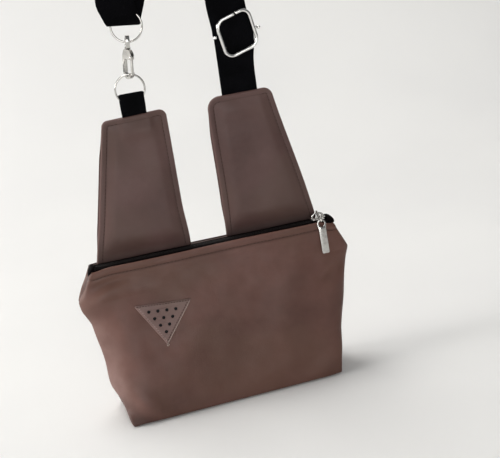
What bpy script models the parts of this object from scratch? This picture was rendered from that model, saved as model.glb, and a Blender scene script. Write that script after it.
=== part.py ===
"""Zipped leather chest bag on two leather wings, with a webbing strap and nickel hardware.

All dimensions below are in millimetres. X runs across the bag, -Y is its front, +Z is up, and the
origin is the middle of the base.
"""
import math

import bmesh
import bpy
import numpy as np
from mathutils import Matrix, Vector
from mathutils.geometry import tessellate_polygon

MM = 0.001
GAP = 0.3

# Pouch
POUCH_H = 137.0
PEAK_HALF = 117.5
BASE_HALF = PEAK_HALF - 22.0
TOP_HALF = PEAK_HALF - 11.5
PEAK_Z = POUCH_H - 27.0
BASE_DEPTH = 28.0
FRONT_TOP = 8.0
BACK_TOP = 11.3
BASE_ROUND = 2.5
WALL_COLUMNS = 25
LEATHER = 1.2
LINING = 0.6

# Zip
TAPE_T = 0.8
TAPE_Z = POUCH_H - 1.0
TAPE_HALF = TOP_HALF - 4.7
COIL_ENDS = (-TAPE_HALF + 1.3, TAPE_HALF - 4.3)
COIL_R = 1.4
END_IN = TAPE_HALF + GAP
END_OUT = END_IN + 6.4
END_T = 3.5
SLIDER_X = TAPE_HALF - 7.3
SLIDER_HALF = 7.0
SLIDER_Y = 3.9
CROWN_Z = TAPE_Z + 7.0
WIRE_LINK = 0.6
LINK_R = 1.6
TAB_HOLD_Y = -FRONT_TOP - 2.0
TAB_HOLD_Z = POUCH_H + 2.5
TAB_LEAN = math.radians(9.0)
TAB_LENGTH = 29.0
TAB_HALF = 3.3
TAB_T = 1.2

# Wings, each with its left and right edge at the pouch and at the top
WING_Y = BACK_TOP - 2.85
HINGE_Z = POUCH_H + 1.7
WING_H = 120.0
WING_TOP = POUCH_H + WING_H
WING_CORNER = 8.0
ROOT_TOP = POUCH_H - 0.1
ROOT_DEEP = 7.9
ROOT_REACH = TOP_HALF - 14.0
WING_SIDES = {
    "left": ((8.9 - TOP_HALF, -16.4), (33.9 - TOP_HALF, -18.0)),
    "right": ((14.7, TOP_HALF - 10.7), (17.7, TOP_HALF - 34.1)),
}

# Webbing
WEB_T = 1.0
TAB_WEB = 20.0
STRAP_W = 30.0
WEB_IN = 14.0
STRAP_X = 46.0
FOLD_X = -39.65
TWIST_Z = WING_TOP + 193.0
APEX_Z = WING_TOP + 383.0
LOOP_BULGE = 95.0
LOOP_RISE = 270.0
POCKET = 1.75

# Rings
WIRE_RING = 0.8
LOWER_C = (FOLD_X - 5.5, WING_TOP + 18.3)
LOWER_R = 11.85
UPPER_C = (FOLD_X, WING_TOP + 67.6)
UPPER_R = 12.35
FOLD_TOP = UPPER_C[1] + 30.4

# Clasp, along its own axis from the lower ring's wire
HOOK_PLAY = 1.0
HOOK_HALF = 5.6
HOOK_WALL = 2.2
HOOK_T = 3.0
HOOK_YAW = math.radians(28.0)
BLOCK_LOW = 12.0
BLOCK_TOP = 19.7
GATE_PIVOT = (4.5, 13.9)
GATE_T = 1.4
PIN_R = 0.6
EYE_R = 2.4
EYE_WALL = 1.7

# Buckle
BUCKLE_C = (STRAP_X + 1.5, WING_TOP + 47.8)
BUCKLE_WIRE = 1.3
BUCKLE_HALF = (15.4, 14.2)
BUCKLE_CORNER = 7.0
BUCKLE_TURN = math.radians(17.0)
BAR_R = 1.2
BAR_REACH = 18.9
LOOP_TOP = BUCKLE_C[1] + 30.2

# Patch, measured from its lower tip, and its punched holes
PATCH_TIP = (-53.9, PEAK_Z - 46.0)
PATCH_H = 37.0
PATCH_SLANT = 3.2
PATCH_REACH = (-20.6, 26.1)
PATCH_T = 1.0
HOLE_R = 1.25
HOLE_PITCH = (7.5, 6.1)
HOLE_DROP = 7.6
HOLE_SHIFT = 0.9

LOOKS = {
    "leather": ((0.127, 0.082, 0.066, 1.0), 0.62, 0.0),
    "lining": ((0.030, 0.028, 0.030, 1.0), 0.85, 0.0),
    "webbing": ((0.006, 0.006, 0.009, 1.0), 0.80, 0.0),
    "tape": ((0.008, 0.008, 0.009, 1.0), 0.85, 0.0),
    "nickel": ((0.74, 0.73, 0.70, 1.0), 0.22, 1.0),
    "patch": ((0.165, 0.125, 0.108, 1.0), 0.66, 0.0),
}


def clear_scene():
    for obj in list(bpy.data.objects):
        bpy.data.objects.remove(obj, do_unlink=True)


def make_material(name, look):
    colour, roughness, metallic = LOOKS[look]
    mat = bpy.data.materials.new(name)
    mat.use_nodes = True
    shader = mat.node_tree.nodes["Principled BSDF"]
    shader.inputs["Base Color"].default_value = colour
    shader.inputs["Roughness"].default_value = roughness
    shader.inputs["Metallic"].default_value = metallic
    mat.diffuse_color = colour
    return mat


def add_part(name, look, verts, faces, smooth=False, pivot=(0.0, 0.0, 0.0)):
    """Make one named object from millimetre vertices, its origin on the pivot."""
    pivot = np.asarray(pivot, dtype=float)
    points = (np.asarray(verts, dtype=float) - pivot) * MM
    mesh = bpy.data.meshes.new(name)
    mesh.from_pydata([tuple(p) for p in points], [], [tuple(f) for f in faces])
    bm = bmesh.new()
    bm.from_mesh(mesh)
    bmesh.ops.remove_doubles(bm, verts=bm.verts, dist=1e-6)
    bmesh.ops.recalc_face_normals(bm, faces=bm.faces)
    for face in bm.faces:
        face.smooth = smooth
    bm.to_mesh(mesh)
    bm.free()
    mesh.materials.append(make_material("mat_" + name, look))
    obj = bpy.data.objects.new(name, mesh)
    obj.location = Vector(pivot * MM)
    bpy.context.scene.collection.objects.link(obj)
    if smooth:
        mesh.set_sharp_from_angle(angle=math.radians(40.0))
    return obj


def combine(target, tool, operation):
    """Apply one exact boolean to the target and drop the tool."""
    step = target.modifiers.new("cut", "BOOLEAN")
    step.operation = operation
    step.solver = "EXACT"
    step.object = tool
    bpy.context.view_layer.update()
    graph = bpy.context.evaluated_depsgraph_get()
    result = bpy.data.meshes.new_from_object(target.evaluated_get(graph))
    target.modifiers.clear()
    old = target.data
    target.data = result
    bpy.data.meshes.remove(old)
    bpy.data.objects.remove(tool, do_unlink=True)
    return target


# Mesh shapes

def slab(near, far):
    """Close the space between two point grids of the same size."""
    rows, cols = near.shape[:2]
    verts = np.concatenate([near.reshape(-1, 3), far.reshape(-1, 3)])
    shift = rows * cols
    faces = []
    for r in range(rows - 1):
        for c in range(cols - 1):
            a, b, d, e = r * cols + c, r * cols + c + 1, (r + 1) * cols + c + 1, (r + 1) * cols + c
            faces += [[a, b, d], [a, d, e]]
            faces += [[d + shift, b + shift, a + shift], [e + shift, d + shift, a + shift]]
    rim = [c for c in range(cols)]
    rim += [r * cols + cols - 1 for r in range(1, rows)]
    rim += [(rows - 1) * cols + c for c in range(cols - 2, -1, -1)]
    rim += [r * cols for r in range(rows - 2, 0, -1)]
    for i, a in enumerate(rim):
        b = rim[(i + 1) % len(rim)]
        faces.append([b, a, a + shift, b + shift])
    return verts, faces


def plate(outline, holes, thickness, frame):
    """Extrude a flat outline with holes; the outline lies in the frame's first and third axes."""
    loops = [outline] + list(holes)
    flat = [Vector((a, c, 0.0)) for loop in loops for a, c in loop]
    cells = tessellate_polygon([[Vector((a, c, 0.0)) for a, c in loop] for loop in loops])
    count = len(flat)
    local = [Vector((p.x, -thickness / 2, p.y)) for p in flat]
    local += [Vector((p.x, thickness / 2, p.y)) for p in flat]
    verts = [tuple(frame @ p) for p in local]
    faces = [list(cell) for cell in cells]
    faces += [[i + count for i in reversed(cell)] for cell in cells]
    start = 0
    for loop in loops:
        size = len(loop)
        for i in range(size):
            a = start + i
            b = start + (i + 1) % size
            faces.append([a, b, b + count, a + count])
        start += size
    return verts, faces


def tube(path, radius, closed, sides=8):
    """Sweep a round wire along a path."""
    path = np.asarray(path, dtype=float)
    if closed:
        tangents = np.roll(path, -1, axis=0) - np.roll(path, 1, axis=0)
    else:
        tangents = np.gradient(path, axis=0)
    tangents /= np.linalg.norm(tangents, axis=1)[:, None]
    side = np.cross(tangents[0], (0.31, 0.67, 0.53))
    rings = []
    for point, tangent in zip(path, tangents):
        side = side - tangent * np.dot(side, tangent)
        side /= np.linalg.norm(side)
        other = np.cross(tangent, side)
        angles = np.arange(sides) * 2 * math.pi / sides
        rings.append([point + radius * (math.cos(a) * side + math.sin(a) * other) for a in angles])
    verts = np.array(rings).reshape(-1, 3)
    count = len(path)
    faces = []
    for i in range(count if closed else count - 1):
        j = (i + 1) % count
        shift = 0
        if closed and j == 0:
            gaps = [np.linalg.norm(np.array(rings[0][s]) - np.array(rings[-1][0])) for s in range(sides)]
            shift = int(np.argmin(gaps))
        for k in range(sides):
            a = i * sides + k
            b = i * sides + (k + 1) % sides
            c = j * sides + (k + 1 + shift) % sides
            d = j * sides + (k + shift) % sides
            faces.append([a, b, c, d])
    if not closed:
        faces.append(list(range(sides)))
        faces.append([(count - 1) * sides + k for k in range(sides)])
    return verts, faces


def ribbon(stations, low, high):
    """Sweep a flat band; a station is centre, width direction, normal and half width."""
    near = []
    far = []
    for centre, across, normal, half in stations:
        centre, across, normal = (np.asarray(v, dtype=float) for v in (centre, across, normal))
        near.append([centre - across * half + normal * low, centre + across * half + normal * low])
        far.append([centre - across * half + normal * high, centre + across * half + normal * high])
    return slab(np.array(near), np.array(far))


def cylinder(centre, axis, radius, length, sides=20):
    """A short round bar standing on its centre point along the axis."""
    start = np.asarray(centre, dtype=float)
    return tube([start, start + np.asarray(axis, dtype=float) * length], radius, False, sides)


def arc(centre, radius, start, stop, count):
    """Points of a flat arc, in degrees."""
    angles = np.radians(np.linspace(start, stop, count))
    return [(centre[0] + radius * math.cos(a), centre[1] + radius * math.sin(a)) for a in angles]


def box(low, high):
    corners = [(x, y, z) for x in (low[0], high[0]) for y in (low[1], high[1]) for z in (low[2], high[2])]
    faces = [(0, 1, 3, 2), (4, 6, 7, 5), (0, 4, 5, 1), (2, 3, 7, 6), (0, 2, 6, 4), (1, 5, 7, 3)]
    return corners, faces


# Pouch

def half_width(z):
    if z <= PEAK_Z:
        return BASE_HALF + (PEAK_HALF - BASE_HALF) * max(z / PEAK_Z, 0.0) ** 1.08
    return PEAK_HALF + (TOP_HALF - PEAK_HALF) * (z - PEAK_Z) / (POUCH_H - PEAK_Z)


def half_depth(z, sign):
    top = FRONT_TOP if sign < 0 else BACK_TOP
    return top + (BASE_DEPTH - top) * (1.0 - max(z / POUCH_H, 0.0) ** 1.6)


def squareness(z):
    return float(np.interp(z, [0.0, PEAK_Z * 4 / 11, PEAK_Z, POUCH_H], [18.0, 6.5, 3.0, 10.0]))


def wall_row(z, sign, inset, columns):
    """One level of the pouch wall, from the left seam round to the right one."""
    width = half_width(z) - inset
    depth = half_depth(z, sign) - inset - GAP / 2
    power = squareness(z)
    row = []
    for u in np.linspace(-1.0, 1.0, columns):
        across = math.sin(math.pi * u / 2)
        out = (1.0 - min(abs(across), 1.0) ** power) ** (1.0 / power)
        row.append((width * across, sign * (GAP / 2 + depth * out), z))
    return row


def wall_levels():
    """Heights of the pouch's rows: closer together where its sides turn in."""
    levels = [BASE_ROUND] + [PEAK_Z * share for share in (0.127, 0.273, 0.455, 0.636, 0.8)]
    return levels + [PEAK_Z + step for step in (-10.0, -3.0, 0.0, 3.0, 14.0)]


def wall_rows(sign, offset, top, columns):
    """The wall's rows at one offset inside the leather, with a rounded lower edge."""
    edge = BASE_ROUND - offset
    rows = []
    for inset, rise in ((edge, 0.0), (0.3 * edge, 0.3 * edge)):
        rows.append(wall_row(offset + rise, sign, offset + inset, columns))
    for height in wall_levels() + [top]:
        rows.append(wall_row(height, sign, offset, columns))
    return rows


def half_shell(name, look, sign, offset, thickness, top):
    """Front or back half of the pouch: a wall and half of the base, open at the top."""
    columns = WALL_COLUMNS
    outer = np.array(wall_rows(sign, offset, top, columns))
    inner = np.array(wall_rows(sign, offset + thickness, top, columns))
    rows = outer.shape[0]
    shift = rows * columns
    verts = np.concatenate([outer.reshape(-1, 3), inner.reshape(-1, 3)])
    faces = []
    for r in range(rows - 1):
        for c in range(columns - 1):
            quad = [r * columns + c, r * columns + c + 1, (r + 1) * columns + c + 1, (r + 1) * columns + c]
            faces.append(quad)
            faces.append([i + shift for i in reversed(quad)])
    faces.append(list(range(columns)))
    faces.append([i + shift for i in reversed(range(columns))])
    faces.append([0, columns - 1, columns - 1 + shift, shift])
    last = (rows - 1) * columns
    for c in range(columns - 1):
        faces.append([last + c, last + c + 1, last + c + 1 + shift, last + c + shift])
    for r in range(rows - 1):
        for c in (0, columns - 1):
            low = r * columns + c
            high = (r + 1) * columns + c
            faces.append([low, high, high + shift, low + shift])
    return add_part(name, look, verts, faces, smooth=True)


def build_pouch():
    half_shell("front_panel", "leather", -1, 0.0, LEATHER, POUCH_H)
    half_shell("back_panel", "leather", 1, 0.0, LEATHER, ROOT_TOP)
    half_shell("lining_front", "lining", -1, LEATHER + GAP, LINING, TAPE_Z - GAP)
    half_shell("lining_back", "lining", 1, LEATHER + GAP, LINING, ROOT_TOP - ROOT_DEEP - 0.5)


def front_y(x, z):
    """Front face of the pouch at one place."""
    power = squareness(z)
    side = min(abs(x) / half_width(z), 1.0)
    return -half_depth(z, -1) * (1.0 - side ** power) ** (1.0 / power)


def bulge(x, low_z):
    """How far the front face stands out behind the patch from a flat plane through its middle line."""
    top = front_y(x, low_z + PATCH_H)
    low = front_y(x, low_z)
    most = 0.0
    for t in np.linspace(0.0, 1.0, 21):
        for reach in np.linspace(PATCH_REACH[0] * t, PATCH_REACH[1] * t, 9):
            most = max(most, low + (top - low) * t - front_y(x + reach, low_z + PATCH_H * t))
    return most


def build_patch():
    """Flat triangle with four rows of punched holes, laid on the front face."""
    x, low_z = PATCH_TIP
    top = front_y(x, low_z + PATCH_H)
    low = front_y(x, low_z)
    lean = math.atan2(top - low, PATCH_H)
    frame = Matrix.Rotation(-lean, 4, "X")
    frame.translation = Vector((x, low, low_z))
    rise = 1.0 / math.cos(lean)
    clear = bulge(x, low_z) + GAP + PATCH_T / 2
    frame.translation += frame.to_3x3() @ Vector((0.0, -clear, 0.0))
    outline = [(PATCH_REACH[0], PATCH_H * rise), (PATCH_REACH[1], (PATCH_H - PATCH_SLANT) * rise), (0.0, 0.0)]
    slope = PATCH_SLANT / (PATCH_REACH[1] - PATCH_REACH[0])
    holes = []
    for row, count in enumerate((4, 3, 2, 1)):
        for i in range(count):
            across = (i - (count - 1) / 2) * HOLE_PITCH[0] + HOLE_SHIFT
            middle = (across, (PATCH_H - HOLE_DROP - row * HOLE_PITCH[1] - slope * across) * rise)
            holes.append(arc(middle, HOLE_R, 0.0, 324.0, 10))
    verts, faces = plate(outline, holes, PATCH_T, frame)
    add_part("patch", "patch", verts, faces)


# Zip

def build_zip():
    floor = Matrix.Rotation(math.pi / 2, 4, "X")
    for name, sign in (("front", -1), ("back", 1)):
        wide = TAPE_HALF - 8.3
        outline = [(-TAPE_HALF, 1.7), (TAPE_HALF, 1.7), (TAPE_HALF, 4.4), (wide, 6.1), (-wide, 6.1), (-TAPE_HALF, 4.4)]
        frame = Matrix.Translation((0.0, 0.0, TAPE_Z + TAPE_T / 2)) @ floor
        verts, faces = plate([(x, -sign * y) for x, y in outline], [], TAPE_T, frame)
        add_part("zip_tape_" + name, "tape", verts, faces)
        middle = TAPE_Z + TAPE_T / 2 + 0.3
        near = []
        far = []
        for x in COIL_ENDS:
            near.append([(x, sign * (0.15 + COIL_R * (1 - math.cos(a))), middle - 1.15 * math.sin(a))
                         for a in np.linspace(0.0, math.pi / 2, 5)])
            far.append([(x, sign * (0.15 + COIL_R * (1 - math.cos(a))), middle + 1.15 * math.sin(a))
                        for a in np.linspace(0.0, math.pi / 2, 5)])
        near = np.array(near)
        far = np.array(far)
        far[:, 0, 2] += 0.25
        near[:, 0, 2] -= 0.25
        verts, faces = slab(near, far)
        add_part("zip_coil_" + name, "tape", verts, faces, smooth=True)
    for name, sign in (("left", -1), ("right", 1)):
        outline = [(END_IN, -4.0), (END_OUT - 2.5, -4.0), (END_OUT, -1.5), (END_OUT, 4.0),
                   (END_OUT - 2.5, 6.5), (END_IN, 6.5)]
        frame = Matrix.Translation((0.0, 0.0, POUCH_H + GAP + END_T / 2)) @ floor
        verts, faces = plate([(sign * x, -y) for x, y in outline], [], END_T, frame)
        add_part("zip_end_" + name, "tape", verts, faces)


def build_slider():
    """Zip slider with its two plates, post and bridge, the link on the bridge, and the pull."""
    pivot = (SLIDER_X, 0.0, TAPE_Z)
    floor = Matrix.Rotation(math.pi / 2, 4, "X")
    outline = [(-SLIDER_HALF, -2.9), (-4.0, -SLIDER_Y), (5.0, -SLIDER_Y), (SLIDER_HALF, -3.2),
               (SLIDER_HALF, 3.2), (5.0, SLIDER_Y), (-4.0, SLIDER_Y), (-SLIDER_HALF, 2.9)]
    top = TAPE_Z + 2.7
    verts, faces = plate(outline, [], 1.0, Matrix.Translation((SLIDER_X, 0.0, top)) @ floor)
    slider = add_part("zip_slider", "nickel", verts, faces, pivot=pivot)
    pieces = [plate(outline, [], 0.9, Matrix.Translation((SLIDER_X, 0.0, TAPE_Z - 1.55)) @ floor)]
    pieces.append(box((SLIDER_X + 3.4, -0.9, TAPE_Z - 1.7), (SLIDER_X + 6.2, 0.9, top)))
    for side in (-1, 1):
        rail = sorted((side * (SLIDER_Y - 0.9), side * (SLIDER_Y - 0.1)))
        pieces.append(box((SLIDER_X - 3.8, rail[0], TAPE_Z + TAPE_T + GAP), (SLIDER_X + 4.8, rail[1], top)))
    rise = CROWN_Z - top
    bridge = [(SLIDER_X + 4.6 * math.cos(a), 0.0, top + rise * math.sin(a) ** 0.6)
              for a in np.linspace(math.pi, 0.0, 17)]
    pieces.append(tube(bridge, 0.7, False, 8))
    for verts, faces in pieces:
        combine(slider, add_part("tool", "nickel", verts, faces, pivot=pivot), "UNION")

    crown = np.array([CROWN_Z, 0.0])
    hold = np.array([TAB_HOLD_Z, TAB_HOLD_Y])
    along = hold - crown
    reach = np.linalg.norm(along)
    along /= reach
    up = np.array([along[1], -along[0]])
    path = []
    for a in np.linspace(90.0, 270.0, 9):
        path.append(crown + LINK_R * (math.cos(math.radians(a)) * along + math.sin(math.radians(a)) * up))
    for a in np.linspace(-90.0, 90.0, 9):
        path.append(hold + LINK_R * (math.cos(math.radians(a)) * along + math.sin(math.radians(a)) * up))
    verts, faces = tube([(SLIDER_X, y, z) for z, y in path], WIRE_LINK, True, 8)
    add_part("pull_link", "nickel", verts, faces, smooth=True, pivot=(SLIDER_X, 0.0, CROWN_Z))

    bar = 0.55
    eye = -3.3
    outline = arc((0.0, eye), 3.3 + bar, -8.0, 188.0, 17)
    outline += [(-TAB_HALF, eye - 4.5), (-TAB_HALF, -TAB_LENGTH + 1.0), (-TAB_HALF + 1.0, -TAB_LENGTH)]
    outline += [(TAB_HALF - 1.0, -TAB_LENGTH), (TAB_HALF, -TAB_LENGTH + 1.0), (TAB_HALF, eye - 4.5)]
    hole = arc((0.0, eye), 3.3 - bar, 20.0, 160.0, 9) + [(-0.9, eye - 2.6), (0.0, eye - 3.1), (0.9, eye - 2.6)]
    frame = Matrix.Translation((SLIDER_X, TAB_HOLD_Y, TAB_HOLD_Z)) @ Matrix.Rotation(-TAB_LEAN, 4, "X")
    verts, faces = plate(outline, [hole], TAB_T, frame)
    add_part("pull_tab", "nickel", verts, faces, pivot=(SLIDER_X, TAB_HOLD_Y, TAB_HOLD_Z))


# Wings

def wing_span(side, z):
    """Left and right edge of a wing at one height, its top corners rounded."""
    (low_a, low_b), (top_a, top_b) = WING_SIDES[side]
    t = (z - POUCH_H) / (WING_TOP - POUCH_H)
    left = low_a + (top_a - low_a) * t
    right = low_b + (top_b - low_b) * t
    over = max(z - (WING_TOP - WING_CORNER), 0.0)
    cut = WING_CORNER - math.sqrt(max(WING_CORNER ** 2 - over ** 2, 0.0))
    return left + cut, right - cut


def wing_gap(x, z, middle, half, fill):
    """Half the space between the two layers: it opens where the webbing goes in."""
    across = np.clip((half + 7.5 - abs(x - middle)) / 6.0, 0.0, 1.0)
    height = np.clip((z - (WING_TOP - WEB_IN - 10.0)) / 8.0, 0.0, 1.0)
    return GAP / 2 + (fill + GAP / 2) * across * height


def build_wings():
    heights = [HINGE_Z - 1.3, HINGE_Z - 0.2] + [POUCH_H + WING_H * share for share in (0.19, 0.44, 0.69)]
    heights += [WING_TOP - WEB_IN - 9.5, WING_TOP - WEB_IN - 1.5]
    heights += [WING_TOP - WING_CORNER, WING_TOP - 4.5, WING_TOP - 1.8, WING_TOP - 0.5, WING_TOP]
    webs = {"left": (LOWER_C[0], TAB_WEB / 2, WEB_T + GAP / 2), "right": (STRAP_X, STRAP_W / 2, WEB_T / 2)}
    for side, (middle, half, fill) in webs.items():
        for layer, sign in (("front", -1), ("back", 1)):
            near = []
            far = []
            for z in heights:
                left, right = wing_span(side, z)
                thickness = 0.35 if z < HINGE_Z - 1.0 else LEATHER
                xs = np.linspace(left, right, 13)
                gaps = [wing_gap(x, z, middle, half, fill) for x in xs]
                near.append([(x, WING_Y + sign * g, z) for x, g in zip(xs, gaps)])
                far.append([(x, WING_Y + sign * (g + thickness), z) for x, g in zip(xs, gaps)])
            verts, faces = slab(np.array(near), np.array(far))
            add_part("wing_%s_%s" % (side, layer), "leather", verts, faces, smooth=True)
        low, high = np.clip(wing_span(side, POUCH_H), -ROOT_REACH, ROOT_REACH)
        verts, faces = box((low, WING_Y - 1.3, ROOT_TOP - ROOT_DEEP), (high, WING_Y + 1.3, ROOT_TOP))
        add_part("wing_root_" + side, "leather", verts, faces)


# Webbing and rings

def band(points, half, x):
    """Stations of a band across X, from its path in the YZ plane."""
    path = np.array([(x, WING_Y + y, z) for y, z in points])
    tangents = np.gradient(path, axis=0)
    tangents /= np.linalg.norm(tangents, axis=1)[:, None]
    across = np.array((1.0, 0.0, 0.0))
    widths = half if isinstance(half, (list, np.ndarray)) else [half] * len(path)
    return [(p, across, np.cross(t, across), w) for p, t, w in zip(path, tangents, widths)]


def ring_path(centre, radius, count=40):
    angles = np.arange(count) * 2 * math.pi / count
    return [(centre[0] + radius * math.cos(a), WING_Y, centre[1] + radius * math.sin(a)) for a in angles]


def lower_pivot():
    return (LOWER_C[0], WING_Y, LOWER_C[1] - 4.7)


def upper_pivot():
    return (UPPER_C[0], WING_Y, UPPER_C[1] + 4.1)


def build_ring_tab():
    """Folded webbing tab on the left wing, with the lower ring in its fold."""
    bend = POCKET + WEB_T / 2
    low = WING_TOP - WEB_IN
    inside = (WEB_T + GAP) / 2
    crown = LOWER_C[1] - 3.0 - POCKET - WEB_T
    front = [(-inside, low), (-inside, WING_TOP + 0.5), (-bend + 0.4, WING_TOP + 3.6), (-bend, WING_TOP + 5.0)]
    points = front + [(y, z) for y, z in arc((0.0, crown), bend, 180.0, 0.0, 13)]
    points += [(-y, z) for y, z in reversed(front)]
    verts, faces = ribbon(band(points, TAB_WEB / 2, LOWER_C[0]), -WEB_T / 2, WEB_T / 2)
    add_part("ring_tab", "webbing", verts, faces, smooth=True)
    verts, faces = tube(ring_path(LOWER_C, LOWER_R), WIRE_RING, True)
    add_part("lower_ring", "nickel", verts, faces, smooth=True, pivot=lower_pivot())


def loop_stations(side):
    """Half of the strap's loop, from a leg's twist up to the apex."""
    apex = ((STRAP_X + FOLD_X) / 2, APEX_Z)
    leg = (STRAP_X if side > 0 else FOLD_X, TWIST_Z)
    stations = []
    for t in np.linspace(0.0, 1.0, 26):
        a = 2 * t ** 3 - 3 * t ** 2 + 1
        b = t ** 3 - 2 * t ** 2 + t
        c = 1 - a
        d = t ** 3 - t ** 2
        x = a * leg[0] + c * apex[0] - d * side * LOOP_BULGE
        z = a * leg[1] + b * LOOP_RISE + c * apex[1]
        stations.append((x, z, t))
    return stations


def strap_stations(start, stop):
    """Stations of the strap from the right leg over the apex to the left leg."""
    right = [(STRAP_X, z, 0.0) for z in start] + loop_stations(1)
    left = list(reversed(loop_stations(-1)[:-1])) + [(FOLD_X, z, 0.0) for z in stop]
    line = right + left
    path = np.array([(x, WING_Y, z) for x, z, _ in line])
    tangents = np.gradient(path, axis=0)
    tangents /= np.linalg.norm(tangents, axis=1)[:, None]
    stations = []
    for (x, z, t), point, tangent in zip(line, path, tangents):
        turn = math.pi / 2 * t * t * (3 - 2 * t)
        flat = np.array((tangent[2], 0.0, -tangent[0]))
        across = flat * math.cos(turn) + np.array((0.0, 1.0, 0.0)) * math.sin(turn)
        stations.append((point, across, np.cross(tangent, across), STRAP_W / 2))
    return stations


def build_strap():
    """One long webbing: outer run, inner run, its fold at the upper ring and its return to the buckle."""
    legs = [WING_TOP + (TWIST_Z - WING_TOP) * share for share in (0.25, 0.75)]
    outer = strap_stations([WING_TOP - WEB_IN] + legs, [legs[1], FOLD_TOP + GAP])
    verts, faces = ribbon(outer, -WEB_T / 2, WEB_T / 2)
    add_part("strap_outer", "webbing", verts, faces, smooth=True)
    low = WEB_T / 2 + GAP
    inner = strap_stations([], [legs[1], FOLD_TOP + GAP])
    verts, faces = ribbon(inner, low, low + WEB_T)
    add_part("strap_inner", "webbing", verts, faces, smooth=True)
    verts, faces = box((STRAP_X - STRAP_W / 2, WING_Y + low, LOOP_TOP + GAP),
                       (STRAP_X + STRAP_W / 2, WING_Y + low + WEB_T, TWIST_Z - GAP))
    add_part("strap_return", "webbing", verts, faces)

    bend = POCKET + WEB_T / 2
    bottom = UPPER_C[1] + 3.8 + POCKET
    front = [(0.0, FOLD_TOP), (-0.5, FOLD_TOP - 6.0), (-bend + 0.5, FOLD_TOP - 12.0), (-bend, FOLD_TOP - 16.0)]
    back = [(bend, FOLD_TOP - 16.0), (bend - 0.2, FOLD_TOP - 12.0), (1.6, FOLD_TOP - 6.0),
            (low + WEB_T / 2, FOLD_TOP)]
    turn = [(y, z) for y, z in arc((0.0, bottom), bend, 180.0, 360.0, 13)]
    points = front + turn + back
    halves = [float(np.interp(z, [bottom, bottom + 9.0], [10.7, STRAP_W / 2])) for _, z in points]
    verts, faces = ribbon(band(points, halves, FOLD_X), -WEB_T / 2, WEB_T / 2)
    add_part("strap_fold", "webbing", verts, faces, smooth=True)
    verts, faces = tube(ring_path(UPPER_C, UPPER_R), WIRE_RING, True)
    add_part("upper_ring", "nickel", verts, faces, smooth=True, pivot=upper_pivot())


# Clasp

def clasp_axis():
    """Foot, direction and length of the clasp's axis between the two rings' wires."""
    lower = Vector((LOWER_C[0], WING_Y, LOWER_C[1]))
    upper = Vector((UPPER_C[0], WING_Y, UPPER_C[1]))
    along = (upper - lower).normalized()
    foot = lower + along * LOWER_R
    top = upper - along * UPPER_R
    return foot, along, (top - foot).length


def clasp_frame(yaw):
    foot, along, _ = clasp_axis()
    cross = Vector((0.0, 1.0, 0.0)).cross(along)
    side = cross * math.sin(yaw) - Vector((0.0, 1.0, 0.0)) * math.cos(yaw)
    normal = along.cross(side)
    frame = Matrix((side, normal, along)).transposed().to_4x4()
    frame.translation = foot
    return frame


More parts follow.
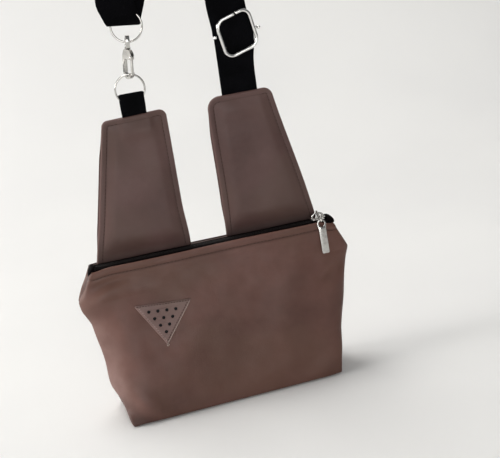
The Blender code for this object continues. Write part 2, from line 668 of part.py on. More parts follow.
def build_clasp():
    frame = clasp_frame(HOOK_YAW)
    foot, along, length = clasp_axis()
    pivot = tuple(foot)
    inner = HOOK_HALF - HOOK_WALL
    low = -WIRE_RING - HOOK_PLAY
    outline = arc((0.0, low - 1.9 + HOOK_HALF), HOOK_HALF, 0.0, -180.0, 15)
    outline += [(-HOOK_HALF, 14.0), (-HOOK_HALF + 0.8, 17.2), (-3.0, BLOCK_TOP), (3.0, BLOCK_TOP)]
    outline += [(HOOK_HALF - 0.2, 17.0), (HOOK_HALF + 0.4, 15.2), (HOOK_HALF + 0.4, 13.0), (HOOK_HALF - 0.2, BLOCK_LOW)]
    outline += [(inner, BLOCK_LOW), (-inner, BLOCK_LOW)]
    outline += arc((0.0, low + inner), inner, 180.0, 360.0, 11)
    outline += [(HOOK_HALF, low + inner)]
    verts, faces = plate(outline, [], HOOK_T, frame)
    body = add_part("clasp_body", "nickel", verts, faces, pivot=pivot)

    def at(a, b, c):
        return tuple(frame @ Vector((a, b, c)))

    def cut_box(low_corner, high_corner):
        corners, quads = box(low_corner, high_corner)
        return [at(*p) for p in corners], quads

    slot = GATE_T / 2 + 0.2
    side = tuple(frame.to_3x3() @ Vector((0.0, 1.0, 0.0)))
    axis = tuple(along)
    tools = [
        (cut_box((2.5, -slot, BLOCK_LOW - 0.5), (7.0, slot, 16.0)), "DIFFERENCE"),
        (cylinder(at(GATE_PIVOT[0], -3.0, GATE_PIVOT[1]), side, PIN_R + 0.1, 6.0, 12), "DIFFERENCE"),
        (cylinder(at(0.0, 0.0, BLOCK_TOP - 0.6), axis, 1.0, 3.2, 16), "UNION"),
        (cylinder(at(0.0, 0.0, BLOCK_TOP + 2.25), axis, 1.7, 0.9, 18), "UNION"),
    ]
    for (verts, faces), operation in tools:
        combine(body, add_part("tool", "nickel", verts, faces, pivot=pivot), operation)

    a, c = GATE_PIVOT
    half = (HOOK_HALF - inner) / 2 - 0.1
    middle = HOOK_HALF - half
    foot_c = low + inner + GAP
    outline = arc((a, c), 1.3, 0.0, 180.0, 9)
    outline += [(middle - half, BLOCK_LOW - 1.0), (middle - half, foot_c), (middle + half, foot_c),
                (middle + half, BLOCK_LOW - 1.0)]
    verts, faces = plate(outline, [arc((a, c), PIN_R + 0.1, 0.0, 330.0, 12)], GATE_T, frame)
    hinge = at(a, 0.0, c)
    add_part("clasp_gate", "nickel", verts, faces, pivot=hinge)
    verts, faces = cylinder(at(a, -HOOK_T / 2, c), side, PIN_R, HOOK_T, 12)
    add_part("clasp_pin", "nickel", verts, faces, pivot=hinge)

    frame = clasp_frame(0.0)
    top = length + WIRE_RING + GAP
    centre = top - EYE_R
    wall = EYE_R + EYE_WALL
    base = BLOCK_TOP + GAP
    sill = base + 1.65
    foot_c = base + 0.15
    outline = arc((0.0, centre), wall, 0.0, 180.0, 13) + [(-wall, sill), (-2.4, foot_c), (2.4, foot_c), (wall, sill)]
    hole = arc((0.0, centre), EYE_R, 0.0, 180.0, 11) + [(-EYE_R, sill), (EYE_R, sill)]
    verts, faces = plate(outline, [hole], 1.8, frame)
    eye = add_part("swivel_eye", "nickel", verts, faces, pivot=upper_pivot())
    tools = [
        (cylinder(at_frame(frame, base), axis, 2.4, 1.45, 20), "UNION"),
        (cylinder(at_frame(frame, base - 1.0), axis, 1.3, 3.0, 20), "DIFFERENCE"),
    ]
    for (verts, faces), operation in tools:
        combine(eye, add_part("tool", "nickel", verts, faces, pivot=upper_pivot()), operation)


def at_frame(frame, height):
    return tuple(frame @ Vector((0.0, 0.0, height)))


# Buckle

def rounded_rectangle(half, corner, per_corner):
    points = []
    for sx, sz, start in ((1, 1, 0.0), (-1, 1, 90.0), (-1, -1, 180.0), (1, -1, 270.0)):
        middle = (sx * (half[0] - corner), sz * (half[1] - corner))
        points += arc(middle, corner, start, start + 90.0, per_corner)
    return points


def build_buckle():
    """Wire buckle on the right leg: frame in front of the strap, bar behind it, strap end round the bar."""
    x0, z0 = BUCKLE_C
    pivot = (x0, WING_Y, z0)
    front = -WEB_T / 2 - GAP - BUCKLE_WIRE
    cos, sin = math.cos(BUCKLE_TURN), math.sin(BUCKLE_TURN)
    path = [(x0 + a * cos - c * sin, WING_Y + front, z0 + a * sin + c * cos)
            for a, c in rounded_rectangle(BUCKLE_HALF, BUCKLE_CORNER, 7)]
    verts, faces = tube(path, BUCKLE_WIRE, True)
    add_part("buckle_frame", "nickel", verts, faces, smooth=True, pivot=pivot)

    loop_r = BAR_R + GAP + WEB_T / 2
    back = WEB_T + GAP + loop_r
    corner = 1.6
    left = [(-BAR_REACH, front - 0.4)]
    left += [(-BAR_REACH + corner * (1 - math.cos(a)), back - corner * (1 - math.sin(a)))
             for a in np.linspace(0.0, math.pi / 2, 5)]
    right = [(-x, y) for x, y in reversed(left)]
    path = [(x0 + x, WING_Y + y, z0 + 0.5) for x, y in left + right]
    verts, faces = tube(path, BAR_R, False)
    add_part("buckle_bar", "nickel", verts, faces, smooth=True, pivot=pivot)

    lead = WEB_T + GAP
    bar_z = z0 + 0.5
    points = [(lead, LOOP_TOP), (lead, bar_z + 4.0)]
    points += [(y, z) for y, z in arc((back, bar_z), loop_r, 180.0, 360.0, 11)]
    points += [(back + loop_r - 0.3, bar_z + 3.5), (2 * lead + 0.5, bar_z + 9.0), (2 * lead, bar_z + 12.0)]
    points += [(2 * lead, LOOP_TOP - 2.0)]
    verts, faces = ribbon(band(points, STRAP_W / 2, STRAP_X), -WEB_T / 2, WEB_T / 2)
    add_part("buckle_loop", "webbing", verts, faces, smooth=True, pivot=pivot)


def main():
    clear_scene()
    build_pouch()
    build_patch()
    build_zip()
    build_slider()
    build_wings()
    build_ring_tab()
    build_strap()
    build_clasp()
    build_buckle()


main()
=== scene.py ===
"""Looks of a small zipped chest bag: leather pouch and wings, black webbing and nickel hardware.

Lengths are in millimetres in the CAD's frame: X across the bag, -Y its front, +Z up. Only the stage and
the lamps are in metres.
"""

import math

import bmesh
import bpy
import numpy as np
from mathutils import Matrix, Vector, noise
from mathutils.bvhtree import BVHTree
from mathutils.geometry import tessellate_polygon


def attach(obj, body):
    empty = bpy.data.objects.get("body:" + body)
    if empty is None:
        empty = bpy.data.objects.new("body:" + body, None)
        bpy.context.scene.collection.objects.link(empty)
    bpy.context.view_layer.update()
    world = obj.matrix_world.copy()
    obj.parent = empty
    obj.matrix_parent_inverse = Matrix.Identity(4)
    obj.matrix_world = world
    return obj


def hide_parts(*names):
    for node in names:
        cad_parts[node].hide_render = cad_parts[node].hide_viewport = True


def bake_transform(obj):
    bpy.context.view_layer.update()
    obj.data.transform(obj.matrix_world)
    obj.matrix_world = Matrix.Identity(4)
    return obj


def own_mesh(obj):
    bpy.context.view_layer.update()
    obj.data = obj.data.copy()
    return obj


# Metres in a millimetre, the air between touching pieces, and the distance of a seam that isn't there
MM = 0.001
GAP = 0.3
FAR = 99.0

# Pouch
POUCH_H = 137.0
BASE_HALF = 95.5
PEAK_HALF = 117.5
PEAK_Z = 110.0
TOP_HALF = 106.0
BASE_DEPTH = 28.0
FRONT_TOP = 8.0
BACK_TOP = 11.3
BASE_ROUND = 2.5
SQUARENESS = ((0.0, 40.0, PEAK_Z, POUCH_H), (18.0, 6.5, 3.0, 10.0))
POUCH_COLUMNS = 112
LEATHER = 1.4
HEM_STITCH = 6.2
LINING_INSET = 2.4
LINING_LEVELS = (1.8, 1.8, 2.6, 5.0, 15.0, 30.0, 50.0, 70.0, 90.0, 110.0, 122.0, 128.0, 134.0)
# Shares of the depth on the way to the base's middle, and the turned edge's steps in degrees
BASE_STEPS = (0.0, 0.35, 0.7)
RIM_STEPS = (30.0, 60.0, 90.0, 120.0, 150.0, 180.0)

# The soft leather: swells as heights with the amount at each, pressed seams, drawn corners and folds
LEFT_SWELL = ((0.0, 6.0, 16.0, 30.0, 42.0, 52.0, 64.0, 88.0, 100.0, 108.0, 120.0, 137.0),
              (0.0, 1.8, 3.0, 3.6, 2.0, 0.6, -0.4, -1.0, 0.8, 0.6, 0.0, -1.6))
RIGHT_SWELL = ((0.0, 8.0, 40.0, 90.0, 108.0, 137.0), (-2.4, -1.6, -1.4, -1.2, 0.0, 0.0))
SWELL_REACH = 30.0
SIDE_FLAT = 13.0
SIDE_FLAT_ENDS = (6.0, 116.0)
BASE_ASKEW = 2.8
ASKEW_HEIGHT = 75.0
SOFT_WAVES = 1.1
SOFT_RIPPLES = 0.3
SEAM_PRESS = 0.55
SEAM_WIDTH = 1.1
HEM_PRESS = 0.5
HEM_SWELL = 0.35
HEM_SWELL_DROP = 3.2
DROOP = {"left": (2.2, 86.0), "right": (3.6, 90.0)}
DROOP_END = 106.0
CORNER_PULL = 0.85
CORNER_HEIGHT = 18.0
FRONT_CORNERS = ((-94.8, -31.8), (94.0, -22.5))
# Painted highlight down the front's left edge: its amount at each height and how far in it reaches
PAINTED_HIGHLIGHT_SIDE = ((6.0, 26.0, 84.0, 100.0, 112.0, 124.0), (0.0, 0.8, 0.8, 0.24, 0.4, 0.0))
PAINTED_HIGHLIGHT_REACH = 18.0
FRONT_FOLDS = (
    # x, z, half length along, half width, lean in degrees, depth
    (-83.0, 24.0, 26.0, 9.0, 130.0, 4.6),
    (-95.0, 14.0, 18.0, 6.0, 130.0, -2.4),
    (-66.0, 64.0, 34.0, 11.0, 95.0, -1.4),
    (-91.0, 125.0, 19.0, 6.0, 14.0, -3.4),
    (-102.0, 112.0, 17.0, 7.0, 40.0, 2.4),
    (-40.0, 50.0, 34.0, 14.0, 55.0, 1.4),
    (8.0, 40.0, 36.0, 15.0, 60.0, -1.2),
    (52.0, 62.0, 40.0, 15.0, 80.0, 1.1),
    (97.0, 92.0, 14.0, 5.5, 30.0, -2.2),
    (99.0, 108.0, 12.0, 6.0, 0.0, 1.2),
    (72.0, 22.0, 26.0, 10.0, 35.0, -1.2),
    (40.0, 20.0, 26.0, 8.0, 15.0, 0.9),
    (0.0, 123.0, 90.0, 5.0, 0.0, -0.7),
)

# Patch: its corners, the inset and lift of each line of its rim, and its holes
PATCH = ((-75.4, 101.0), (-27.4, 98.0), (-53.9, 63.8))
PATCH_CORNER = 1.0
PATCH_T = 1.5
PATCH_BORDER = 3.4
PATCH_RIM = ((0.0, 0.15), (-0.05, 0.75), (0.12, 1.15), (0.45, 1.4), (0.9, PATCH_T), (PATCH_BORDER, PATCH_T))
PATCH_STEPS = 24
PATCH_NORMAL = (0.0, -1.0, 0.12)
HOLE_R = 1.45
HOLE_ROWS = (4, 3, 2, 1)
HOLE_STEP = (7.5, 6.1)
HOLE_SHIFT = 0.9
HOLE_TOP = 93.4
HOLE_SLANT = 0.0685

# Zip
TAPE_Z = 136.4
TAPE_HALF = 101.3
TAPE_T = 0.5
TAPE_INNER = 1.3
COIL_STOP = 97.0
COIL_PITCH = 1.35
SLIDER_X = 94.0
SLIDER_HALF = 7.0
CROWN_Z = 143.0
LINK_R = 1.6
TAB_HOLD = (-10.0, 139.5)
TAB_LEAN = math.radians(9.0)
TAB_LENGTH = 29.0
TAB_HALF = 3.1
TAB_EYE = -3.3
ZIP_END_X = 101.2
ZIP_ENDS = (
    # name, side, reach, drop, half height, half depth
    ("left", -1, 5.6, 6.0, 1.8, 5.4),
    ("right", 1, 6.4, 3.4, 2.5, 5.9),
)

# Wings
WING_Y = 8.45
WING_TOP = 257.0
# By wing: radii of its top corners, depth and reach of the shade at its foot, drop of its top at each edge
WING_CORNERS = {"left": (4.0, 6.5), "right": (10.0, 6.5)}
WING_SHADE = {"left": (0.4, 3.0), "right": (0.75, 7.0)}
WING_DROP = {"left": (3.6, 1.8), "right": (0.4, 0.0)}
WING_STITCH = 4.7
WING_PEEK = 1.2
WING_LIP = 1.1
WING_PUFF = 1.7
WING_BELLY = 1.5
WING_SEWN = 0.35
WING_CLOUD = 0.9
WEB_FILL = {"left": 1.15, "right": 0.5}
# A wing's left and right edge at the zip, then at its top
WING_SIDES = {
    "left": ((-97.1, -16.4), (-72.1, -18.0)),
    "right": ((14.7, 95.3), (17.7, 71.9)),
}
# A wing's rows and columns: distances from its edge, and heights at its foot
NEAR_EDGE = [0.0, 0.12, 0.35, 0.7, 1.1, 1.7, 2.6, 3.4, 4.0, 4.4, 4.7, 5.0, 5.4, 6.0, 6.8, 7.8]
WING_FOOT = [142.5, 141.0, 139.8, 138.7, 137.6, 136.4, 134.8, 133.0]
STITCH_FOOT = 139.5

# Webbing
WEB_T = 1.0
LAYER = WEB_T + GAP
TAB_WEB = 20.0
STRAP_W = 30.0
WEB_IN = 14.0
STRAP_X = 46.0
FOLD_X = -39.65
TWIST_Z = 450.0
LEAN_GONE = 448.0
LEAN_FULL = 346.0
RIGHT_FULL = 334.0
APEX_Z = 640.0
# How strongly the loop above the twist swings outwards and rises
LOOP_SWING = (95.0, 270.0)
CROWDED = 1.6
CROWDED_AT = 300.0
CROWDED_REACH = 13.0
POCKET = 1.75
BEND = POCKET + WEB_T / 2

# Rings, clasp and buckle
WIRE_RING = 0.8
LOWER_C = (-45.15, 275.3)
LOWER_R = 11.85
UPPER_C = (-39.65, 324.6)
UPPER_R = 12.35
RINGS = (
    # node, centre, radius, body, the weld's place in degrees and the ring's turn in radians
    ("lower_ring", LOWER_C, LOWER_R, "ring_low", 250.0, 0.0),
    ("upper_ring", UPPER_C, UPPER_R, "ring_high", 70.0, 0.21),
)
FOLD_TOP = UPPER_C[1] + 30.4
FOLD_TILT = math.radians(6.0)
FOLD_SHIFT = 2.2
HOOK_YAW = math.radians(28.0)
HOOK_HALF = 5.6
HOOK_WALL = 2.2
HOOK_INNER = HOOK_HALF - HOOK_WALL
HOOK_PLAY = 1.0
HOOK_LOW = -WIRE_RING - HOOK_PLAY
BLOCK_LOW = 12.0
BLOCK_TOP = 19.7
GATE_PIVOT = (4.5, 13.9)
EYE_RISE = 2.6
BUCKLE_C = (47.5, 304.8)
BUCKLE_WIRE = 1.5
BUCKLE_HALF = (14.2, 15.2)
BUCKLE_SLANT = 0.1
BUCKLE_CORNER = 7.0
BUCKLE_TURN = math.radians(17.0)
BUCKLE_WELD = (2.3, 3.5)
BUCKLE_FRONT = -WEB_T / 2 - GAP - BUCKLE_WIRE
BAR_R = 1.2
BAR_REACH = 18.3
BAR_RISE = 0.5
BAR_BEND = 1.6
LOOP_R = BAR_R + GAP + WEB_T / 2
BAR_Y = LAYER + LOOP_R

# Threads: pitch, then length, width and height of each thread, and their look
TOP_STITCH = (3.1, (2.5, 0.5, 0.42), "brown thread")
PATCH_STITCH = (2.3, (2.0, 0.7, 0.36), "brown thread")
SIDE_STITCH = (2.1, (1.5, 0.75, 0.4), "dull thread")
COIL_TURN = (COIL_PITCH, (0.85, 2.6, 1.5), "coil")
LOOP_STITCH = (2.2, (1.8, 0.5, 0.45), "black thread")
FOLD_STITCH = (1.9, (1.6, 0.5, 0.4), "black thread")

# The photograph's camera
CAMERA_AT = (-138.1, -815.7, 432.6)
CAMERA_FORWARD = (0.195, 0.924, -0.330)
CAMERA_UP = (0.204, 0.290, 0.935)
CAMERA_LENS = 75.04

# Light: levels from 0 to 1, and the lamps in metres and watts
WORLD_LEVEL = 0.3
ROOM_LEVEL = 0.21
PAPER_LIFT = 0.03
LAMPS = (
    # name, place, aim, size, power, colour
    ("Window", (-4.8, 0.1, 1.55), (0.0, 0.0, 0.15), 1.8, 190.0, (1.0, 0.985, 0.96)),
    ("Ceiling", (-0.3, 0.38, 2.0), (0.0, 0.0, 0.0), 0.8, 20.0, (1.0, 0.99, 0.97)),
    ("Fill", (-0.3, -2.9, 0.7), (0.0, 0.0, 0.15), 1.6, 31.0, (1.0, 0.99, 0.98)),
)


# Nodes and materials

def plug(tree, socket, value):
    """Link a socket to another node's output, or give it a plain value."""
    if isinstance(value, bpy.types.NodeSocket):
        tree.links.new(value, socket)
    else:
        socket.default_value = value


def add_node(tree, kind, inputs=(), **settings):
    node = tree.nodes.new(kind)
    for key, value in settings.items():
        setattr(node, key, value)
    for key, value in dict(inputs).items():
        plug(tree, node.inputs[key], value)
    return node


def scaled(colour, share):
    return tuple(share * c for c in colour)


class Look:
    """One procedural material, wired node by node."""

    def __init__(self, name, colour, roughness, metallic=0.0):
        self.material = bpy.data.materials.new(name)
        self.material.use_nodes = True
        self.tree = self.material.node_tree
        self.shader = self.tree.nodes["Principled BSDF"]
        self.set("Base Color", colour + (1.0,))
        self.set("Roughness", roughness)
        self.set("Metallic", metallic)
        self.place = self.add("ShaderNodeTexCoord").outputs["Object"]

    def add(self, kind, inputs=(), **settings):
        return add_node(self.tree, kind, inputs, **settings)

    def set(self, key, value):
        plug(self.tree, self.shader.inputs[key], value)

    def noise(self, size, detail=2.0, vector=None):
        """Cloudy noise whose patches are about size millimetres."""
        inputs = {"Vector": vector or self.place, "Scale": 1.0 / (size * MM), "Detail": detail}
        return self.add("ShaderNodeTexNoise", inputs).outputs["Fac"]

    def mapped(self, change, amount, vector=None):
        """Coordinates under one change: their Location, Rotation or Scale."""
        inputs = {"Vector": vector or self.place, change: amount}
        return self.add("ShaderNodeMapping", inputs).outputs["Vector"]

    def math(self, operation, a, b):
        return self.add("ShaderNodeMath", {0: a, 1: b}, operation=operation).outputs[0]

    def times(self, value, factor):
        return self.math("MULTIPLY", value, factor)

    def span(self, value, low, high, start, stop):
        """Map a value from one range to another, clamped and eased."""
        inputs = {"Value": value, "From Min": low, "From Max": high, "To Min": start, "To Max": stop}
        return self.add("ShaderNodeMapRange", inputs, interpolation_type="SMOOTHSTEP").outputs["Result"]

    def mix(self, factor, a, b):
        a, b = (c + (1.0,) if isinstance(c, tuple) else c for c in (a, b))
        return self.add("ShaderNodeMix", {0: factor, 6: a, 7: b}, data_type="RGBA").outputs[2]

    def shade(self, value, low, high, start, stop, a, b):
        """Colour a with a share of b that goes from start to stop as the value goes from low to high."""
        return self.mix(self.span(value, low, high, start, stop), a, b)

    def attribute(self, name):
        return self.add("ShaderNodeAttribute", attribute_name=name).outputs["Fac"]

    def raise_by(self, *heights):
        """Bump from the sum of several heights in millimetres."""
        total = heights[0]
        for height in heights[1:]:
            total = self.math("ADD", total, height)
        bump = self.add("ShaderNodeBump", {"Height": total, "Distance": MM, "Strength": 1.0})
        self.set("Normal", bump.outputs["Normal"])


def leather(name, base, dark, light):
    """Matt leather: cloudy colour, fine pebbled grain, pressed seams, painted shade, a painted highlight, and
    paler folds that are partly worn and partly a painted highlight.
    """
    look = Look(name, base, 0.6)
    tone = tuple(c * k for c, k in zip(base, (0.98, 1.10, 0.98)))
    colour = look.shade(look.noise(46.0, 3.0), 0.32, 0.68, 0.0, 1.0, dark, light)
    colour = look.shade(look.noise(5.0, 3.0), 0.3, 0.7, 0.0, 0.35, colour, base)
    elsewhere = look.mapped("Location", (0.31, 0.31, 0.31))
    colour = look.shade(look.noise(64.0, 2.0, elsewhere), 0.42, 0.66, 0.0, 0.6, colour, tone)
    seam = look.attribute("seam")
    colour = look.shade(seam, 0.1, 1.3, 0.5, 0.0, colour, scaled(dark, 0.6))
    # Paler near folds and edges, partly worn and partly a painted highlight
    colour = look.shade(look.attribute("fold"), 0.0, 2.0, 0.4, 0.0, colour, scaled(light, 1.45))
    # Painted shade: darker where the shade attribute read here is high, in creases, under the zip and at the
    # wings' feet
    colour = look.shade(look.attribute("painted_shade"), 0.0, 1.0, 0.0, 0.8, colour, scaled(dark, 0.25))
    # Painted highlight: a paler, greyer patchy band where the attribute read here is high, down the front's
    # left edge
    patchy = look.span(look.noise(17.0, 3.0), 0.3, 0.6, 0.55, 1.0)
    painted_highlight_share = look.math("MULTIPLY", look.attribute("painted_highlight"), patchy)
    look.set("Base Color", look.mix(painted_highlight_share, colour, tuple(1.25 * c + 0.055 for c in light)))
    cells = look.add("ShaderNodeTexVoronoi", {"Vector": look.place, "Scale": 1.0 / (0.95 * MM)})
    pebbles = look.times(look.span(cells.outputs["Distance"], 0.15, 0.75, 1.0, 0.0), 0.022)
    pores = look.times(look.noise(0.35), 0.02)
    waves = look.times(look.noise(9.0), 0.10)
    groove = look.span(seam, 0.0, 1.1, -0.16, 0.0)
    look.raise_by(pebbles, pores, waves, groove)
    look.set("Roughness", look.span(look.noise(14.0), 0.3, 0.7, 0.46, 0.58))
    look.set("Specular IOR Level", 0.38)
    look.set("Sheen Weight", 0.03)
    look.set("Sheen Roughness", 0.4)
    return look.material


def cloth(name, base, light, pick, row, relief):
    """Plain weave on the piece's own UV map: picks of one length lie in rows across it."""
    look = Look(name, base, 0.8)
    uv = look.add("ShaderNodeUVMap", uv_map="UVMap").outputs["UV"]
    turned = look.mapped("Rotation", (0.0, 0.0, math.pi / 2), uv)
    inputs = {"Vector": turned, "Scale": 1.0, "Mortar Size": 0.24 * row * MM, "Mortar Smooth": 1.0,
              "Brick Width": pick * MM, "Row Height": row * MM}
    weave = look.add("ShaderNodeTexBrick", inputs).outputs["Fac"]
    colour = look.shade(look.noise(12.0, 3.0), 0.3, 0.7, 0.0, 1.0, base, light)
    look.set("Base Color", look.mix(look.times(weave, 0.6), colour, scaled(base, 0.4)))
    look.raise_by(look.times(weave, -relief), look.times(look.noise(0.3), 0.3 * relief))
    look.set("Specular IOR Level", 0.04)
    return look.material


def plain_thread(name, colour, roughness=0.55):
    """Twisted thread or moulded nylon with a fine cord on it."""
    look = Look(name, colour, roughness)
    look.set("Base Color", look.shade(look.noise(1.6), 0.3, 0.7, 0.0, 1.0, colour, scaled(colour, 1.5)))
    look.raise_by(look.times(look.noise(0.4), 0.05))
    look.set("Specular IOR Level", 0.15)
    return look.material


def nickel(name, clean, dull):
    """Bright nickel plate with faint handling marks."""
    look = Look(name, clean, 0.14, 1.0)
    haze = look.noise(3.0, 4.0)
    look.set("Base Color", look.shade(haze, 0.35, 0.7, 0.0, 1.0, clean, dull))
    look.set("Roughness", look.span(haze, 0.3, 0.75, 0.09, 0.17))
    stretched = look.mapped("Scale", (1.0, 1.0, 0.12))
    look.raise_by(look.times(look.noise(0.5, 2.0, stretched), 0.003))
    return look.material


def pale_paper():
    """Wall and floor: a little paler to the eye and in reflections than to light, and clear from behind."""
    look = Look("Pale paper", (0.75, 0.745, 0.735), 0.9)
    tones = ((0.74, 0.735, 0.725), (0.77, 0.765, 0.75))
    look.set("Base Color", look.shade(look.noise(300.0), 0.3, 0.7, 0.0, 1.0, *tones))
    ray = look.add("ShaderNodeLightPath").outputs
    seen = look.math("MAXIMUM", ray["Is Camera Ray"], ray["Is Glossy Ray"])
    look.set("Emission Color", (1.0, 0.99, 0.97, 1.0))
    look.set("Emission Strength", look.times(seen, PAPER_LIFT))
    backfacing = look.add("ShaderNodeNewGeometry").outputs["Backfacing"]
    from_behind = look.math("MULTIPLY", ray["Is Camera Ray"], backfacing)
    look.set("Alpha", look.math("SUBTRACT", 1.0, from_behind))
    return look.material


LOOKS = {
    "pouch": leather("Taupe leather", (0.103, 0.0430, 0.0310),
                     (0.079, 0.0315, 0.0222), (0.131, 0.0578, 0.0440)),
    "wing": leather("Taupe wing leather", (0.094, 0.048, 0.042),
                    (0.076, 0.037, 0.032), (0.115, 0.062, 0.055)),
    "patch": leather("Grey taupe leather", (0.154, 0.092, 0.082),
                     (0.130, 0.076, 0.067), (0.182, 0.112, 0.100)),
    "webbing": cloth("Black webbing", (0.0018, 0.0018, 0.0024), (0.0032, 0.0032, 0.0042), 2.4, 1.1, 0.09),
    "tape": cloth("Black zip tape", (0.0034, 0.0021, 0.0021), (0.0058, 0.0038, 0.0038), 1.1, 0.55, 0.05),
    "lining": cloth("Dark lining", (0.030, 0.028, 0.030), (0.040, 0.037, 0.040), 0.7, 0.4, 0.04),
    "brown thread": plain_thread("Brown thread", (0.036, 0.019, 0.015)),
    "pale thread": plain_thread("Pale thread", (0.30, 0.24, 0.21)),
    "dull thread": plain_thread("Grey brown thread", (0.21, 0.16, 0.145)),
    "black thread": plain_thread("Black thread", (0.005, 0.005, 0.006)),
    "coil": plain_thread("Black nylon", (0.0075, 0.0055, 0.0055), 0.5),
    "nickel": nickel("Nickel", (0.57, 0.56, 0.535), (0.46, 0.445, 0.425)),
    "bright nickel": nickel("Bright nickel", (0.80, 0.79, 0.77), (0.70, 0.69, 0.67)),
}


# Numbers and paths

def unit(value):
    return np.clip(value, 0.0, 1.0)


def smooth(value, low, high):
    """Share of the way from low to high, eased at both ends."""
    t = min(max((value - low) / (high - low), 0.0), 1.0)
    return t * t * (3 - 2 * t)


def unit_rows(vectors):
    """The same vectors, each one long; the last axis holds their parts."""
    return vectors / np.maximum(np.linalg.norm(vectors, axis=-1, keepdims=True), 1e-9)


def circle(count):
    """Evenly spaced angles once round."""
    return np.arange(count) * 2 * math.pi / count


def arc(centre, radius, start, stop, count):
    """Points of a flat arc, in degrees."""
    angles = np.radians(np.linspace(start, stop, count))
    return [(centre[0] + radius * math.cos(a), centre[1] + radius * math.sin(a)) for a in angles]


def lengths_along(points):
    """Distance along a path from its first point to each of its points."""
    return np.concatenate([[0.0], np.cumsum(np.linalg.norm(np.diff(points, axis=0), axis=1))])


def even_path(points, step):
    """The same open path with evenly spaced points, and how many steps each is from the nearer end."""
    points = np.asarray(points, dtype=float)
    lengths = lengths_along(points)
    places = np.linspace(0.0, lengths[-1], max(int(lengths[-1] / step), 2))
    path = np.column_stack([np.interp(places, lengths, column) for column in points.T])
    steps = np.arange(len(path))
    return path, np.minimum(steps, steps[::-1])


def mirrored(half):
    """An outline's left half, given from its top down, and its right half from the bottom up."""
    return half + [(-a, c) for a, c in reversed(half)]


# Pieces from meshes

def put(name, data):
    obj = bpy.data.objects.new(name, data)
    bpy.context.scene.collection.objects.link(obj)
    return obj


def finish_mesh(name, verts, faces, look, uvs=None, fields=(), sharp=None):
    """A plain mesh object in metres with merged doubles and outward faces."""
    mesh = bpy.data.meshes.new(name)
    mesh.from_pydata([tuple(p) for p in np.asarray(verts, dtype=float) * MM], [], [tuple(f) for f in faces])
    if uvs is not None:
        mesh.uv_layers.new(name="UVMap").uv.foreach_set("vector", np.asarray(uvs, dtype=float).ravel())
    for field, values in dict(fields).items():
        values = np.asarray(values, dtype=float).ravel()
        mesh.attributes.new(field, "FLOAT", "POINT").data.foreach_set("value", values)
    bm = bmesh.new()
    bm.from_mesh(mesh)
    bmesh.ops.remove_doubles(bm, verts=bm.verts, dist=2e-6)
    bmesh.ops.recalc_face_normals(bm, faces=bm.faces)
    for face in bm.faces:
        face.smooth = True
    bm.to_mesh(mesh)
    bm.free()
    if sharp is not None:
        mesh.set_sharp_from_angle(angle=math.radians(sharp))
    mesh.materials.append(LOOKS[look])
    return put(name, mesh)


def settle(obj, body, stands_for=()):
    """A finished piece rides on its body in place of its CAD nodes; with neither, it waits for a merge."""
    if not (body or stands_for):
        return obj
    if stands_for:
        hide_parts(*stands_for)
    if body:
        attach(obj, body)
    return obj


def apply_modifiers(obj):
    """Replace the object's mesh by what its modifiers make of it."""
    bpy.context.view_layer.update()
    graph = bpy.context.evaluated_depsgraph_get()
    result = bpy.data.meshes.new_from_object(obj.evaluated_get(graph))
    obj.modifiers.clear()
    obj.data = result


def merge(name, objects, look, body, stands_for=()):
    """Join plain mesh objects of one look into one piece."""
    bm = bmesh.new()
    for obj in objects:
        bm.from_mesh(obj.data)
    mesh = bpy.data.meshes.new(name)
    bm.to_mesh(mesh)
    bm.free()
    mesh.materials.append(LOOKS[look])
    for obj in objects:
        bpy.data.objects.remove(obj, do_unlink=True)
    return settle(put(name, mesh), body, stands_for)


def loft(rings, wrap=False, caps=True, across=None, along=None):
    """Skin successive closed rings of points; the caps bridge each end ring flat."""
    rings = np.asarray(rings, dtype=float)
    rows, cols = rings.shape[:2]
    across = (np.arange(cols + 1) if across is None else across) * MM
    along = (np.arange(rows + 1) if along is None else along) * MM
    faces = []
    uvs = []
    for r in range(rows if wrap else rows - 1):
        s = (r + 1) % rows
        for c in range(cols):
            d = (c + 1) % cols
            faces.append((r * cols + c, r * cols + d, s * cols + d, s * cols + c))
            low, high, left, right = along[r], along[r + 1], across[c], across[c + 1]
            uvs += [(left, low), (right, low), (right, high), (left, high)]
    if caps and not wrap:
        for r in (0, rows - 1):
            for c in range(cols // 2 - 1):
                quad = (c, c + 1, cols - 2 - c, cols - 1 - c)
                faces.append(tuple(r * cols + i for i in quad))
                uvs += [(across[i], along[r]) for i in quad]
    return rings.reshape(-1, 3), faces, uvs


def lofted(name, rings, look, body=None, stands_for=(), fields=(), sharp=None, **shape):
    """A piece whose surface is skinned over rings."""
    verts, faces, uvs = loft(rings, **shape)
    return settle(finish_mesh(name, verts, faces, look, uvs, fields, sharp), body, stands_for)


def wire(path, radius, closed, sides):
    """Rings of a round wire along a path, without twist; its radius may change from point to point."""
    path = np.asarray(path, dtype=float)
    ahead = np.roll(path, -1, axis=0) - np.roll(path, 1, axis=0) if closed else np.gradient(path, axis=0)
    side = np.cross(unit_rows(ahead[0]), (0.31, 0.67, 0.53))
    rings = []
    for point, tangent, size in zip(path, unit_rows(ahead), np.broadcast_to(radius, len(path))):
        side = unit_rows(side - tangent * np.dot(side, tangent))
        other = np.cross(tangent, side)
        rings.append([point + size * (math.cos(a) * side + math.sin(a) * other) for a in circle(sides)])
    return np.array(rings)


def wire_piece(name, path, radius, look, body=None, stands_for=(), closed=False, sides=14):
    return lofted(name, wire(path, radius, closed, sides), look, body, stands_for, wrap=closed)


